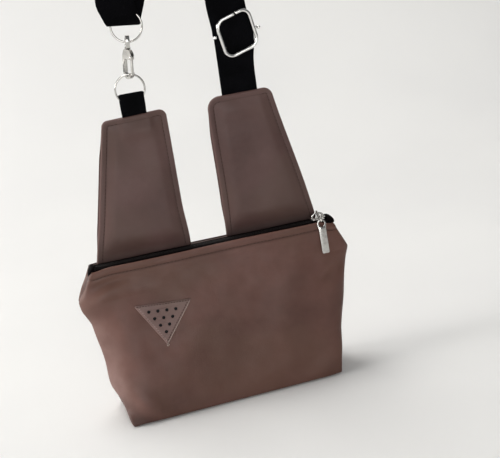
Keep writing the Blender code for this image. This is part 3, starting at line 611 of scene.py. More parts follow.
def plate_piece(name, outline, holes, thickness, frame, bevel, body=None, stands_for=()):
    """Flat nickel plate with holes in a frame's first and third axes, its edges rounded over."""
    loops = [outline] + holes
    cells = tessellate_polygon([[Vector((a, c, 0.0)) for a, c in loop] for loop in loops])
    flat = [point for loop in loops for point in loop]
    count = len(flat)
    verts = [tuple(frame @ Vector((a, y, c))) for y in (-thickness / 2, thickness / 2) for a, c in flat]
    faces = [tuple(cell) for cell in cells]
    faces += [tuple(i + count for i in reversed(cell)) for cell in cells]
    start = 0
    for loop in loops:
        for i in range(len(loop)):
            a = start + i
            b = start + (i + 1) % len(loop)
            faces.append((a, b, b + count, a + count))
        start += len(loop)
    obj = finish_mesh(name, verts, faces, "nickel")
    step = obj.modifiers.new("Rounded edges", "BEVEL")
    step.width = bevel * MM
    step.segments = 3
    step.limit_method = "ANGLE"
    step.angle_limit = math.radians(50.0)
    apply_modifiers(obj)
    obj.data.set_sharp_from_angle(angle=math.radians(60.0))
    return settle(obj, body, stands_for)


def turned(name, frame, profile, body=None, stands_for=()):
    """Round nickel part about the frame's third axis from its height and radius profile."""
    rings = [[tuple(frame @ Vector((radius * math.cos(a), radius * math.sin(a), height))) for a in circle(28)]
             for height, radius in profile]
    return lofted(name, rings, "nickel", body, stands_for, sharp=40.0)


# Stitches and coil turns

def thread_tree():
    """Geometry nodes: short rounded threads in a row along each line of the incoming mesh."""
    tree = bpy.data.node_groups.new("Threads along a line", "GeometryNodeTree")
    sockets = tree.interface
    sockets.new_socket("Lines", in_out="INPUT", socket_type="NodeSocketGeometry")
    for name in ("Pitch", "Thread length", "Thread width", "Thread height", "Turn"):
        sockets.new_socket(name, in_out="INPUT", socket_type="NodeSocketFloat")
    sockets.new_socket("Finish", in_out="INPUT", socket_type="NodeSocketMaterial")
    sockets.new_socket("Threads", in_out="OUTPUT", socket_type="NodeSocketGeometry")

    def node(kind, inputs=(), **settings):
        return add_node(tree, kind, inputs, **settings).outputs

    given = node("NodeGroupInput")
    line = node("GeometryNodeMeshToCurve", {"Mesh": given["Lines"]})["Curve"]
    spaced = node("GeometryNodeResampleCurve", {"Curve": line, "Length": given["Pitch"]}, mode="LENGTH")
    up = node("GeometryNodeInputNamedAttribute", {"Name": "up"}, data_type="FLOAT_VECTOR")["Attribute"]
    tangent = node("GeometryNodeInputTangent")[0]
    along = node("FunctionNodeAlignRotationToVector", {"Vector": tangent}, axis="X")[0]
    level = node("FunctionNodeAlignRotationToVector", {"Rotation": along, "Vector": up}, axis="Z",
                 pivot_axis="X")[0]
    spin = node("ShaderNodeCombineXYZ", {"Z": given["Turn"]})[0]
    yaw = node("FunctionNodeEulerToRotation", {0: spin})[0]
    facing = node("FunctionNodeRotateRotation", {"Rotation": level, "Rotate By": yaw},
                  rotation_space="LOCAL")[0]
    size = node("ShaderNodeCombineXYZ", {"X": given["Thread length"], "Y": given["Thread width"],
                                        "Z": given["Thread height"]})[0]
    bead = node("GeometryNodeMeshUVSphere", {"Segments": 8, "Rings": 6, "Radius": 0.5})["Mesh"]
    laid = node("GeometryNodeTransform", {"Geometry": bead, "Rotation": (0.0, math.pi / 2, 0.0)})[0]
    thread = node("GeometryNodeSetShadeSmooth", {"Geometry": laid})[0]
    rows = node("GeometryNodeInstanceOnPoints", {"Points": spaced["Curve"], "Instance": thread,
                                                 "Rotation": facing, "Scale": size})["Instances"]
    real = node("GeometryNodeRealizeInstances", {"Geometry": rows})[0]
    finished = node("GeometryNodeSetMaterial", {"Geometry": real, "Material": given["Finish"]})[0]
    node("NodeGroupOutput", {0: finished})
    return tree


THREADS = thread_tree()


def run_threads(name, lines, stitch, body, turn=0.0):
    """Rows of threads; each line is its points and the outward direction at each point."""
    pitch, (length, width, height), look = stitch
    verts = []
    ups = []
    edges = []
    for points, normals in lines:
        start = len(verts)
        verts += [tuple(np.asarray(p, dtype=float) * MM) for p in points]
        ups += [tuple(n) for n in normals]
        edges += [(start + i, start + i + 1) for i in range(len(points) - 1)]
    mesh = bpy.data.meshes.new(name)
    mesh.from_pydata(verts, edges, [])
    mesh.attributes.new("up", "FLOAT_VECTOR", "POINT").data.foreach_set("vector", np.ravel(ups))
    obj = put(name, mesh)
    step = obj.modifiers.new("Threads", "NODES")
    step.node_group = THREADS
    values = {"Pitch": pitch * MM, "Thread length": length * MM, "Thread width": width * MM,
              "Thread height": height * MM, "Turn": turn, "Finish": LOOKS[look]}
    for item in THREADS.interface.items_tree:
        if item.name in values:
            step[item.identifier] = values[item.name]
    apply_modifiers(obj)
    obj.data.materials.clear()
    obj.data.materials.append(LOOKS[look])
    obj.data.polygons.foreach_set("material_index", [0] * len(obj.data.polygons))
    return settle(obj, body)


# Pouch

def half_width(z):
    if z <= PEAK_Z:
        return BASE_HALF + (PEAK_HALF - BASE_HALF) * max(z / PEAK_Z, 0.0) ** 1.08
    return PEAK_HALF + (TOP_HALF - PEAK_HALF) * (z - PEAK_Z) / (POUCH_H - PEAK_Z)


def half_depth(z, sign):
    top = FRONT_TOP if sign < 0 else BACK_TOP
    return top + (BASE_DEPTH - top) * (1.0 - max(z / POUCH_H, 0.0) ** 1.6)


def wall_ring(z, inset, columns):
    """One level of the pouch: its front from right to left, then its back from left to right."""
    width = half_width(z) - inset
    power = float(np.interp(z, *SQUARENESS))
    ring = []
    for sign in (-1, 1):
        depth = half_depth(z, sign) - inset
        for u in np.linspace(-1.0, 1.0, columns):
            across = sign * math.sin(math.pi * u / 2)
            out = (1.0 - min(abs(across), 1.0) ** power) ** (1.0 / power)
            ring.append((width * across, sign * (0.1 + (depth - 0.1) * out), z))
    return ring


def relief(x, y, z):
    """How far the soft leather stands out from the even shape at one place."""
    flow = noise.noise(Vector((x / 46.0, y / 30.0 + 3.1, z / 34.0)))
    ripple = noise.noise(Vector((x / 15.0, y / 15.0, z / 13.0 + 7.7)))
    height = SOFT_WAVES * flow + SOFT_RIPPLES * ripple
    if y < 0.0:
        for fold_x, fold_z, length, width, lean, depth in FRONT_FOLDS:
            cos, sin = math.cos(math.radians(lean)), math.sin(math.radians(lean))
            along = ((x - fold_x) * cos + (z - fold_z) * sin) / length
            away = (-(x - fold_x) * sin + (z - fold_z) * cos) / width
            height += depth * math.exp(-along * along - away * away)
    calm = min(max((POUCH_H - z) / 12.0, 0.0), 1.0) * min(max(z / 6.0, 0.0), 1.0)
    return height * calm


def lean_base(points):
    """The boxed base stands a little askew, and its front corners are drawn to a point."""
    low = unit(1.0 - points[..., 2] / ASKEW_HEIGHT) ** 2
    points[..., 1] += unit(-points[..., 1] / 10.0) * low * BASE_ASKEW * points[..., 0] / BASE_HALF
    for corner in FRONT_CORNERS:
        apart = np.array(corner) - points[..., :2]
        near = np.exp(-(apart ** 2).sum(axis=-1) / 55.0)
        pull = CORNER_PULL * near * unit(1.0 - points[..., 2] / CORNER_HEIGHT)
        points[..., :2] += apart * pull[..., None]
    return points


def outward(rings):
    """Unit normals of even rings, pointing away from the bag's middle."""
    around = np.roll(rings, -1, axis=1) - np.roll(rings, 1, axis=1)
    normals = unit_rows(np.cross(around, np.gradient(rings, axis=0)))
    sides = np.sign((normals[..., :2] * rings[..., :2]).sum(axis=2))
    return normals * np.where(sides == 0, 1, sides)[..., None]


def soften(rings):
    """Let even rings take the soft leather's shape; returns them with their outward directions."""
    normals = outward(rings)
    lift = np.array([[relief(*p) for p in ring] for ring in rings])
    eased = rings + normals * lift[..., None]
    x, y, z = (rings[..., k] for k in range(3))
    edge = np.array([half_width(level) for level in z[:, 0]])[:, None]
    near = unit(1.0 - (x + edge) / SWELL_REACH) ** 2.2
    high = unit((z - SIDE_FLAT_ENDS[0]) / 24.0) * unit((SIDE_FLAT_ENDS[1] - z) / 30.0)
    eased[..., 1] += np.where(y < 0, SIDE_FLAT, 0.0) * near * high * unit(-y / 20.0)
    eased[..., 0] -= np.interp(z, *LEFT_SWELL) * np.exp(-((x + edge) / SWELL_REACH) ** 2)
    eased[..., 0] += np.interp(z, *RIGHT_SWELL) * np.exp(-((edge - x) / SWELL_REACH) ** 2)
    return lean_base(eased), normals


def hem_wave(x):
    """The front's top edge isn't quite straight and droops at both ends."""
    amount, start = DROOP["left" if x < 0 else "right"]
    droop = amount * smooth(abs(x), start, DROOP_END)
    return 0.45 * math.sin(x / 31.0 + 0.6) * math.cos(x / 70.0) - droop


def pouch_levels():
    """Height and inset of each ring: rounded base, body, closer rings at its bulge, and hem."""
    base = [(BASE_ROUND * (1 - math.cos(a)), BASE_ROUND * (1 - math.sin(a)))
            for a in np.linspace(0.0, math.pi / 2, 7)]
    heights = [*np.linspace(6.0, 104.0, 44), *np.arange(106.0, 120.1, 1.4)]
    heights += list(np.linspace(121.5, POUCH_H - LEATHER / 2, 14))
    return base + [(z, 0.0) for z in heights]


def pouch_outside():
    """Outer rings of the leather with their outward directions and the distance to the nearest seam."""
    levels = pouch_levels()
    even = np.array([wall_ring(z, inset, POUCH_COLUMNS) for z, inset in levels])
    x, y, z = (even[..., k] for k in range(3))
    share = np.abs(x) / np.array([half_width(level) - inset for level, inset in levels])[:, None]
    side_seam = (1.0 - share) * 60.0 + np.abs(y) * 0.6
    hem_seam = np.where(y < 0, np.abs(z - (POUCH_H - HEM_STITCH)), FAR)
    hem_roll = np.where(y < 0, np.exp(-((z - POUCH_H + HEM_SWELL_DROP) / 2.0) ** 2), 0.0)
    pressed = SEAM_PRESS * np.exp(-(side_seam / SEAM_WIDTH) ** 2)
    pressed += HEM_PRESS * np.exp(-(hem_seam / SEAM_WIDTH) ** 2)
    outer, normals = soften(even)
    outer = outer + normals * (HEM_SWELL * hem_roll - pressed)[..., None]
    rise = unit((outer[..., 2] - 100.0) / 37.0)
    outer[..., 2] += np.where(outer[..., 1] < 0, rise * np.vectorize(hem_wave)(outer[..., 0]), 0.0)
    return outer, normals, np.minimum(side_seam, hem_seam)


def pouch_rings(outer, normals):
    """Rings from the middle of the base up the outside, over the turned edge and down the inside."""
    flat = (1.0, 1.0, 0.0)
    inward = unit_rows(-normals * flat)
    hem = LEATHER / 2
    rim = [outer[-1] + inward[-1] * hem * (1 - math.cos(a)) + np.array((0, 0, hem * math.sin(a)))
           for a in np.radians(RIM_STEPS)]
    inner = outer + inward * LEATHER
    inner[..., 2] = np.maximum(inner[..., 2], LEATHER)
    base = [outer[0] * np.array((1.0, share, 1.0)) for share in BASE_STEPS]
    floor = [inner[0] * np.array((1.0, share, 1.0)) for share in BASE_STEPS[::-1]]
    return np.array(base + list(outer) + rim + list(inner[::-3]) + floor)


def pouch_fields(rings, outer, seam):
    """Distance to the nearest seam and fold, painted shade and painted highlight at every point of the
    leather.
    """
    x, y, z = (rings[..., k] for k in range(3))
    start, stop = len(BASE_STEPS), len(BASE_STEPS) + len(outer)
    behind = y > 0.5
    seams = np.full(x.shape, FAR)
    seams[:start] = np.abs(y[:start])
    seams[start:stop] = seam
    # Paler turned top edge at the front, partly worn and partly a painted highlight; the back's top edge, in
    # shade, gets none
    folds = np.full(x.shape, FAR)
    folds[start:stop] = np.maximum(POUCH_H - outer[..., 2], 0.0)
    folds[stop:stop + len(RIM_STEPS)] = 0.0
    folds[behind] = FAR
    # Painted highlight down the front's left edge
    edge = np.array([half_width(min(level, POUCH_H)) for level in z.mean(axis=1)])[:, None]
    painted_highlight = np.exp(-((x + edge) / PAINTED_HIGHLIGHT_REACH) ** 2) * (y < 0) * np.interp(z, *PAINTED_HIGHLIGHT_SIDE)
    # Painted shade over the front's lower left corner
    into_shaded_corner = ((x + 83.0) * -0.77 + (z - 22.0) * -0.64) / 12.0
    painted_shades = np.where(y < -10.0, 0.6 * unit(into_shaded_corner), 0.0)
    # Painted shade along the back's top edge under the zip
    painted_shades[behind] = unit((z[behind] - POUCH_H + 5.0) / 4.0)
    return {"seam": seams, "fold": folds, "painted_shade": painted_shades, "painted_highlight": painted_highlight}


def build_pouch_leather():
    """Soft leather shell with a boxed base, side seams and a turned top edge."""
    outer, normals, seam = pouch_outside()
    rings = pouch_rings(outer, normals)
    return lofted("pouch_leather", rings, "pouch", "pouch", ("front_panel", "back_panel"),
                  pouch_fields(rings, outer, seam), caps=False)


def build_lining():
    """Fabric bag inside the leather, open under the zip."""
    columns = 40
    rings = np.array([wall_ring(max(z, 4.0), LINING_INSET, columns) for z in LINING_LEVELS])
    rings[..., 2] = np.array(LINING_LEVELS)[:, None]
    rings = list(soften(rings)[0])
    rings[0] = rings[0] * np.array((0.98, 0.0, 1.0))
    thickness = np.array((0.0, 0.0, 0.4))
    inner = [ring * np.array((0.994, 0.97, 1.0)) + thickness for ring in rings[::-1]]
    inner[0] = inner[0] - thickness
    across = np.linspace(0.0, 480.0, 2 * columns + 1)
    lofted("pouch_lining", rings + inner, "lining", "pouch", ("lining_front", "lining_back"),
           caps=False, across=across, along=np.linspace(0.0, 300.0, 27))


class Skin:
    """The front of a finished surface that trimmings are laid on."""

    def __init__(self, obj):
        mesh = obj.data
        points = [v.co.copy() for v in mesh.vertices]
        self.tree = BVHTree.FromPolygons(points, [tuple(p.vertices) for p in mesh.polygons])

    def at(self, x, z):
        """Point on the front at x and z, and its outward normal."""
        start = Vector((x, -60.0, z)) * MM
        hit, normal, _, _ = self.tree.ray_cast(start, Vector((0.0, 1.0, 0.0)))
        return np.array(hit) / MM, np.array(-normal if normal.y > 0 else normal)


def build_hem_stitches(skin):
    laid = [skin.at(x, POUCH_H - HEM_STITCH + hem_wave(x)) for x in np.linspace(-103.0, 103.0, 140)]
    line = ([point + 0.06 * normal for point, normal in laid], [normal for _, normal in laid])
    run_threads("hem_stitches", [line], TOP_STITCH, "pouch")


# Patch

def patch_points(skin, places, lift):
    """Places on the patch's level, which hardly leans with the leather under it."""
    level = np.array(Vector(PATCH_NORMAL).normalized())
    return [skin.at(x, z)[0] + level * lift for x, z in places]


def triangle(inset):
    """Evenly spaced places on the patch's outline moved inwards, its corners slightly blunt."""
    corners = [Vector(c) for c in PATCH]
    opposite = [(corners[i - 1] - corners[i - 2]).length for i in range(3)]
    girth = sum(opposite)
    radius = abs((corners[1] - corners[0]).cross(corners[2] - corners[0])) / girth
    centre = sum((c * length for c, length in zip(corners, opposite)), Vector((0.0, 0.0))) / girth
    share = 1.0 - inset / radius
    moved = [centre + (c - centre) * share for c in corners]
    places = []
    for i in range(3):
        a, b = moved[i], moved[(i + 1) % 3]
        blunt = PATCH_CORNER / (b - a).length
        steps = np.arange(PATCH_STEPS) / (PATCH_STEPS - 1)
        places += [tuple(a.lerp(b, blunt + (1.0 - 2.0 * blunt) * t)) for t in steps]
    return places


def patch_side(inset, side):
    """Places along one side of the patch: 0 is the upper one, 1 the right and 2 the left."""
    return triangle(inset)[side * PATCH_STEPS:(side + 1) * PATCH_STEPS]


def patch_holes():
    """Centres of the punched holes: four rows that keep to the slanting upper edge."""
    for row, count in enumerate(HOLE_ROWS):
        for i in range(count):
            across = HOLE_SHIFT + (i - (count - 1) / 2) * HOLE_STEP[0]
            yield PATCH[2][0] + across, HOLE_TOP - row * HOLE_STEP[1] - HOLE_SLANT * across


def build_patch_leather(skin):
    """Leather triangle with a rounded rim and four rows of punched holes."""
    rim = [patch_points(skin, triangle(inset), lift) for inset, lift in PATCH_RIM]
    verts, faces, uvs = loft(rim, caps=False)
    verts = [tuple(v) for v in verts]
    loops = [triangle(PATCH_BORDER)] + [arc(hole, HOLE_R, 0.0, 345.0, 24) for hole in patch_holes()]
    cells = tessellate_polygon([[Vector((x, z, 0.0)) for x, z in loop] for loop in loops])
    flat = [place for loop in loops for place in loop]
    start = len(verts)
    verts += [tuple(p) for p in patch_points(skin, flat, PATCH_T)]
    faces += [tuple(start + i for i in cell) for cell in cells]
    uvs += [(x * MM, z * MM) for cell in cells for x, z in (flat[i] for i in cell)]
    start += len(loops[0])
    for loop in loops[1:]:
        low = len(verts)
        verts += [tuple(p) for p in patch_points(skin, loop, 0.1)]
        for i in range(len(loop)):
            j = (i + 1) % len(loop)
            faces.append((start + i, start + j, low + j, low + i))
            uvs += [(0.0, 0.0)] * 4
        start += len(loop)
    # Paler rims on the patch's right and left sides, partly worn and partly a painted highlight; none on its
    # top
    worn_and_lit_rim = np.tile(np.repeat((FAR, 0.5, 0.0), PATCH_STEPS), (len(PATCH_RIM), 1))
    worn_and_lit_rim[-1] = np.repeat((FAR, FAR, 1.5), PATCH_STEPS)
    folds = np.full(len(verts), FAR)
    folds[:worn_and_lit_rim.size] = worn_and_lit_rim.ravel()
    fields = {"seam": np.full(len(verts), FAR), "fold": folds}
    obj = finish_mesh("patch_leather", verts, faces, "patch", uvs, fields, sharp=45.0)
    settle(obj, "pouch", ("patch",))


def build_hole_floors(skin):
    floors = []
    for hole in patch_holes():
        points = patch_points(skin, [hole] + arc(hole, 1.5, 0.0, 330.0, 12), 0.12)
        cells = [(0, 1 + i, 1 + (i + 1) % 12) for i in range(12)]
        floors.append(finish_mesh("hole_floor", points, cells, "black thread"))
    merge("hole_floors", floors, "black thread", "pouch")


def build_patch_threads(skin):
    """Stitches along all three sides, the pale thread on the right rim and its knot at the tip."""
    lines = []
    for side, inset in enumerate((0.9, 1.9, 1.9)):
        points = patch_points(skin, patch_side(inset, side), PATCH_T)
        lines.append((points, [(0.0, -0.99, 0.12)] * len(points)))
    run_threads("patch_stitches", lines[:2], PATCH_STITCH, "pouch")
    run_threads("patch_side_stitches", lines[2:], SIDE_STITCH, "pouch", 0.5)
    edge = patch_points(skin, patch_side(0.55, 1), 1.42)
    wire_piece("patch_rim_thread", edge, 0.24, "pale thread", "pouch", sides=8)
    tip = patch_points(skin, [(PATCH[2][0] + 0.2, PATCH[2][1] + 0.2)], 0.9)[0]
    turns = []
    for a in np.linspace(0.0, 4.2 * math.pi, 60):
        x, y, z = 0.9 * math.cos(a) * (1 - a / 40), -0.4 - 0.25 * math.sin(2 * a), 1.1 * math.sin(a)
        turns.append(tip + np.array((x, y, z)))
    wire_piece("thread_knot", turns, 0.24, "pale thread", "pouch", sides=8)


# Zip

def slab(xs, ys, top, low):
    """Rings of a thin strip along X: its upper points at each x, then its lower ones back again."""
    return [[(x, y, top(x, y)) for y in ys] + [(x, y, low(x, y)) for y in ys[::-1]] for x in xs]


def build_zip_tape():
    for name, sign, edge in (("front", -1, 6.9), ("back", 1, 6.95)):
        def top(x, y):
            bow = 0.35 * math.sin((abs(y) - TAPE_INNER) / (edge - TAPE_INNER) * math.pi)
            return TAPE_Z + bow + 0.12 * math.sin(x / 9.0)

        xs = np.linspace(-TAPE_HALF, TAPE_HALF, 90)
        ys = sign * np.linspace(TAPE_INNER, edge, 9)
        rings = slab(xs, ys, top, lambda x, y: top(x, y) - TAPE_T)
        across = np.concatenate([np.linspace(0, 6, 9), np.linspace(6.5, 12, 10)])
        lofted("zip_tape_%s_weave" % name, rings, "tape", "pouch", ("zip_tape_" + name,), sharp=50.0,
               across=across, along=np.append(xs, xs[-1]))


def build_zip_coil():
    """Nylon turns of both coils, each with the cord that runs along its turns."""
    for name, sign in (("front", -1), ("back", 1)):
        shift = 0.0 if sign < 0 else COIL_PITCH / 2
        xs = np.linspace(-99.0 + shift, COIL_STOP - COIL_PITCH / 2 + shift, 120)
        line = ([(x, sign * 0.95, TAPE_Z + 0.42) for x in xs], [(0.0, 0.0, 1.0)] * len(xs))
        turns = run_threads("coil_turns", [line], COIL_TURN, None, sign * -0.12)
        cord = [(x, sign * 2.15, TAPE_Z + 0.35) for x in np.linspace(-99.5, COIL_STOP, 40)]
        pieces = [turns, wire_piece("coil_cord", cord, 0.42, "coil", sides=8)]
        obj = merge("zip_coil_%s_turns" % name, pieces, "coil", "pouch", ("zip_coil_" + name,))
        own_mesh(obj)


def rounded(angle, power_y, power_z):
    """Cosine and sine of a circle drawn out towards a square."""
    cos, sin = math.cos(angle), math.sin(angle)
    return math.copysign(abs(cos) ** power_y, cos), math.copysign(abs(sin) ** power_z, sin)


def build_zip_ends():
    """Folded tape ends, rounded and turned down over the corners."""
    for name, sign, reach, drop, half, wide in ZIP_ENDS:
        rings = []
        for t in [*np.linspace(0.0, 0.8, 9), *np.linspace(0.84, 1.0, 9)]:
            size = max((1.0 - t ** 5) ** 0.4, 0.04)
            ring = []
            for cos, sin in (rounded(a, 0.6, 0.7) for a in circle(28)):
                y = -1.25 + wide * size * cos
                z = 137.5 + half * size * sin - drop * t * t + 0.12 * math.sin(3 * y)
                ring.append((sign * (ZIP_END_X + reach * t), y, z))
            rings.append(ring)
        lofted("zip_end_%s_fold" % name, rings, "tape", "pouch", ("zip_end_" + name,),
               across=np.linspace(0.0, 26.0, 29), along=np.linspace(0.0, 9.0, len(rings) + 1))


def build_facing():
    """Turned-in edge of the back, with the wings' seam allowance under it."""
    rings = slab(np.linspace(-101.0, 101.0, 70), np.linspace(6.8, 10.3, 6),
                 lambda x, y: 136.25 + 0.1 * math.sin(x / 8.0 + y), lambda x, y: 133.5)
    shape = np.shape(rings)[:2]
    # Painted shade over the whole facing
    fields = {"seam": np.full(shape, FAR), "fold": np.full(shape, FAR), "painted_shade": np.full(shape, 0.85)}
    lofted("back_facing", rings, "pouch", "pouch", ("wing_root_left", "wing_root_right"), fields, sharp=50.0)


def build_slider():
    """Zip slider: two rounded plates, side flanges, post and the arched bridge."""
    floor = Matrix.Rotation(math.pi / 2, 4, "X")

    def layer(outline, thickness, z, bevel):
        place = Matrix.Translation((SLIDER_X, 0.0, z)) @ floor
        return plate_piece("slider_layer", outline, [], thickness, place, bevel)

    xs = np.cos(np.linspace(0.0, math.pi, 22)) * SLIDER_HALF
    halves = [3.95 * (1.0 - abs(x / SLIDER_HALF) ** 3.4) ** 0.36 + 0.15 for x in xs]
    outline = [(x, h) for x, h in zip(xs, halves)] + [(x, -h) for x, h in zip(xs[::-1], halves[::-1])]
    pieces = [layer(outline, 1.05, 138.7, 0.32), layer(outline, 0.9, 134.45, 0.25)]
    for side in (-1, 1):
        rail = [(-5.2, side * 3.9), (5.2, side * 3.9), (5.2, side * 3.15), (-5.2, side * 3.15)]
        pieces.append(layer(rail, 1.5, 137.75, 0.2))
    post = [(3.4, -0.9), (6.2, -0.9), (6.2, 0.9), (3.4, 0.9)]
    pieces.append(layer(post, 4.2, 136.5, 0.2))
    steps = np.linspace(math.pi, 0.0, 41)
    bridge = [(SLIDER_X + 4.7 * math.cos(a), 0.0, 138.6 + 4.3 * math.sin(a) ** 0.62) for a in steps]
    radii = [0.72 + 0.28 * abs(math.cos(a)) ** 2 for a in steps]
    pieces.append(wire_piece("bridge", bridge, radii, "nickel"))
    merge("zip_slider_body", pieces, "nickel", "slider", ("zip_slider",))


def build_pull_link():
    """Long link from the slider's bridge to the pull: two half turns joined by straight sides."""
    crown = np.array([CROWN_Z, 0.0])
    hold = np.array([TAB_HOLD[1], TAB_HOLD[0]])
    along = unit_rows(hold - crown)
    up = np.array([along[1], -along[0]])
    path = []
    for centre, start in ((crown, 90.0), (hold, -90.0)):
        for a in np.radians(np.linspace(start, start + 180.0, 21)):
            z, y = centre + LINK_R * (math.cos(a) * along + math.sin(a) * up)
            path.append((SLIDER_X, y, z))
    wire_piece("pull_link_wire", path, 0.6, "nickel", "link", ("pull_link",), closed=True)


def build_pull_tab():
    """Flat bar with a round head and a drop-shaped eye."""
    foot = -TAB_LENGTH
    outline = arc((0.0, TAB_EYE), 3.85, -8.0, 188.0, 41)
    outline += mirrored([(-3.5, TAB_EYE - 2.6), (-TAB_HALF, TAB_EYE - 4.5), (-TAB_HALF, foot + 1.0),
                         (-TAB_HALF + 0.35, foot + 0.3), (-TAB_HALF + 1.0, foot)])
    hole = arc((0.0, TAB_EYE), 2.75, 12.0, 168.0, 25)
    hole += mirrored([(-2.5, TAB_EYE - 0.4), (-1.9, TAB_EYE - 1.5), (-0.9, TAB_EYE - 2.5)])
    hole.insert(-3, (0.0, TAB_EYE - 3.1))
    place = Matrix.Translation((SLIDER_X, TAB_HOLD[0], TAB_HOLD[1]))
    frame = place @ Matrix.Rotation(-TAB_LEAN, 4, "X")
    plate_piece("pull_bar", outline, [hole], 1.2, frame, 0.32, "pull", ("pull_tab",))


# How the strap's legs lean

def leg_shift(z, amount, low, high, gone):
    """Sideways lean of a strap leg that starts above a fitting and dies out below the twist."""
    return amount * smooth(z, low, high) * (1.0 - smooth(z, high, gone))


def outer_lean(z):
    return leg_shift(z, -5.4, 326.0, LEAN_FULL, LEAN_GONE)


def inner_lean(z):
    return leg_shift(z, 4.2, 327.0, LEAN_FULL, LEAN_GONE)


def right_lean(z):
    """The right leg leans to the left all the way down from its twist, and more so above the buckle."""
    whole = -2.8 * (1.0 - smooth(z, RIGHT_FULL, LEAN_GONE))
    return whole + leg_shift(z, -2.8, 300.0, RIGHT_FULL, LEAN_GONE)


# Wings

def wing_edges(side, z):
    """Left and right edge at one height: the right wing leans in at its top, the left one has a waist."""
    (low_a, low_b), (top_a, top_b) = WING_SIDES[side]
    t = (z - POUCH_H) / (WING_TOP - POUCH_H)
    left, right = low_a + (top_a - low_a) * t, low_b + (top_b - low_b) * t
    if side == "right":
        lean = -2.7 * smooth(z, 160.0, 252.0)
        return left + lean, right + lean
    waist = smooth(z, 142.0, 175.0)
    return left + 0.8 * waist * (1.0 - smooth(z, 225.0, 250.0)), right - 1.6 * waist


def wing_drop(side, x, z):
    """How far a wing's top edge hangs below the even shape at one place."""
    left, right = wing_edges(side, z)
    share = min(max((x - left) / (right - left), 0.0), 1.0)
    low, high = WING_DROP[side]
    return (low + (high - low) * share) * smooth(z, 222.0, WING_TOP)


def wing_span(side, z):
    """Left and right edge of a wing at one height, its top corners rounded."""
    cuts = []
    for radius in WING_CORNERS[side]:
        over = min(max(z - (WING_TOP - radius), 0.0), radius)
        cuts.append(radius - math.sqrt(radius ** 2 - over ** 2))
    left, right = wing_edges(side, z)
    return left + cuts[0], right - cuts[1]


def edge_distance(side, x, z):
    """How far a place on a wing lies inside its outline; the lower end doesn't count as an edge."""
    left, right = wing_edges(side, z)
    top = WING_TOP - z
    nearest = min(x - left, right - x, top)
    for reach, radius in zip((x - left, right - x), WING_CORNERS[side]):
        if reach < radius and top < radius:
            nearest = min(nearest, radius - math.hypot(radius - reach, radius - top))
    return max(nearest, 0.0)


def wing_face(side, x, z, sign):
    """Distance of a wing's outer face from its middle plane."""
    web_x, width = (LOWER_C[0], TAB_WEB) if side == "left" else (STRAP_X + right_lean(z), STRAP_W)
    d = edge_distance(side, x, z)
    lip = 0.2 + WING_LIP * math.sqrt(max(1.0 - (1.0 - min(d / 1.3, 1.0)) ** 2, 0.0))
    free = smooth(z, 140.0, 156.0)
    puff = WING_PUFF * smooth(d, 5.0, 14.0) * free
    belly = WING_BELLY * smooth(z, 139.0, 158.0) * (1.0 - smooth(z, 165.0, 225.0)) * smooth(d, 0.5, 9.0)
    sewn = WING_SEWN * math.exp(-((d - WING_STITCH) / 1.3) ** 2) * free
    over_web = smooth(width / 2 + 6.0 - abs(x - web_x), 0.0, 6.0) * smooth(z, 233.0, 241.0)
    web = WEB_FILL[side] * over_web * smooth(d, 0.0, 1.0)
    cloud = noise.noise(Vector((x / 27.0 + 2.3, sign * 5.0, z / 30.0 + 1.4)))
    return lip + puff + belly - sewn + web + WING_CLOUD * cloud * smooth(d, 4.0, 14.0) * free


def wing_columns(side, z, sign):
    """Places across a wing at one height; the back layer peeks out at the left edge."""
    left, right = wing_span(side, z)
    xs = [left + d for d in NEAR_EDGE] + list(np.linspace(left + 9.5, right - 9.5, 26))
    xs += [right - d for d in NEAR_EDGE[::-1]]
    peek = WING_PEEK * smooth(z, 145.0, 168.0) * (1.0 - smooth(z, 222.0, 246.0)) if sign > 0 else 0.0
    return [x - peek * max(1.0 - (x - left) / 14.0, 0.0) for x in xs]


def build_wing_layer(side, layer, sign):
    """One leather layer of a wing: its outer face, and its inner face against the other layer."""
    amount, reach = WING_SHADE[side]
    rings = []
    fields = {"seam": [], "fold": [], "painted_shade": []}
    heights = [WING_TOP - d for d in NEAR_EDGE + [8.8]]
    heights += [*np.linspace(WING_TOP - 10.2, 144.0, 60), *WING_FOOT]
    for z in heights[::-1]:
        xs = wing_columns(side, z, sign)
        levels = [z - wing_drop(side, x, z) for x in xs]
        outer = [(x, WING_Y + sign * wing_face(side, x, z, sign), level) for x, level in zip(xs, levels)]
        inner = [(x, WING_Y + sign * 0.08, level) for x, level in zip(xs, levels)]
        rings.append(outer + inner[::-1])
        distance = [edge_distance(side, x, z) for x in xs]
        seam = [0.45 + abs(d - WING_STITCH) if z > 136.0 else FAR for d in distance]
        # Painted shade on the front layer, strongest at the wing's foot by the zip
        shade = amount * math.exp(-max(z - 137.5, 0.0) / reach) if sign < 0 else 0.0
        fields["seam"].append(seam + [FAR] * len(xs))
        # Paler near the wing's edges, partly worn and partly a painted highlight
        fields["fold"].append(distance * 2)
        fields["painted_shade"].append([shade] * (2 * len(xs)))
    name = "wing_%s_%s" % (side, layer)
    obj = lofted(name + "_leather", rings, "wing", None, (name,), fields)
    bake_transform(obj)


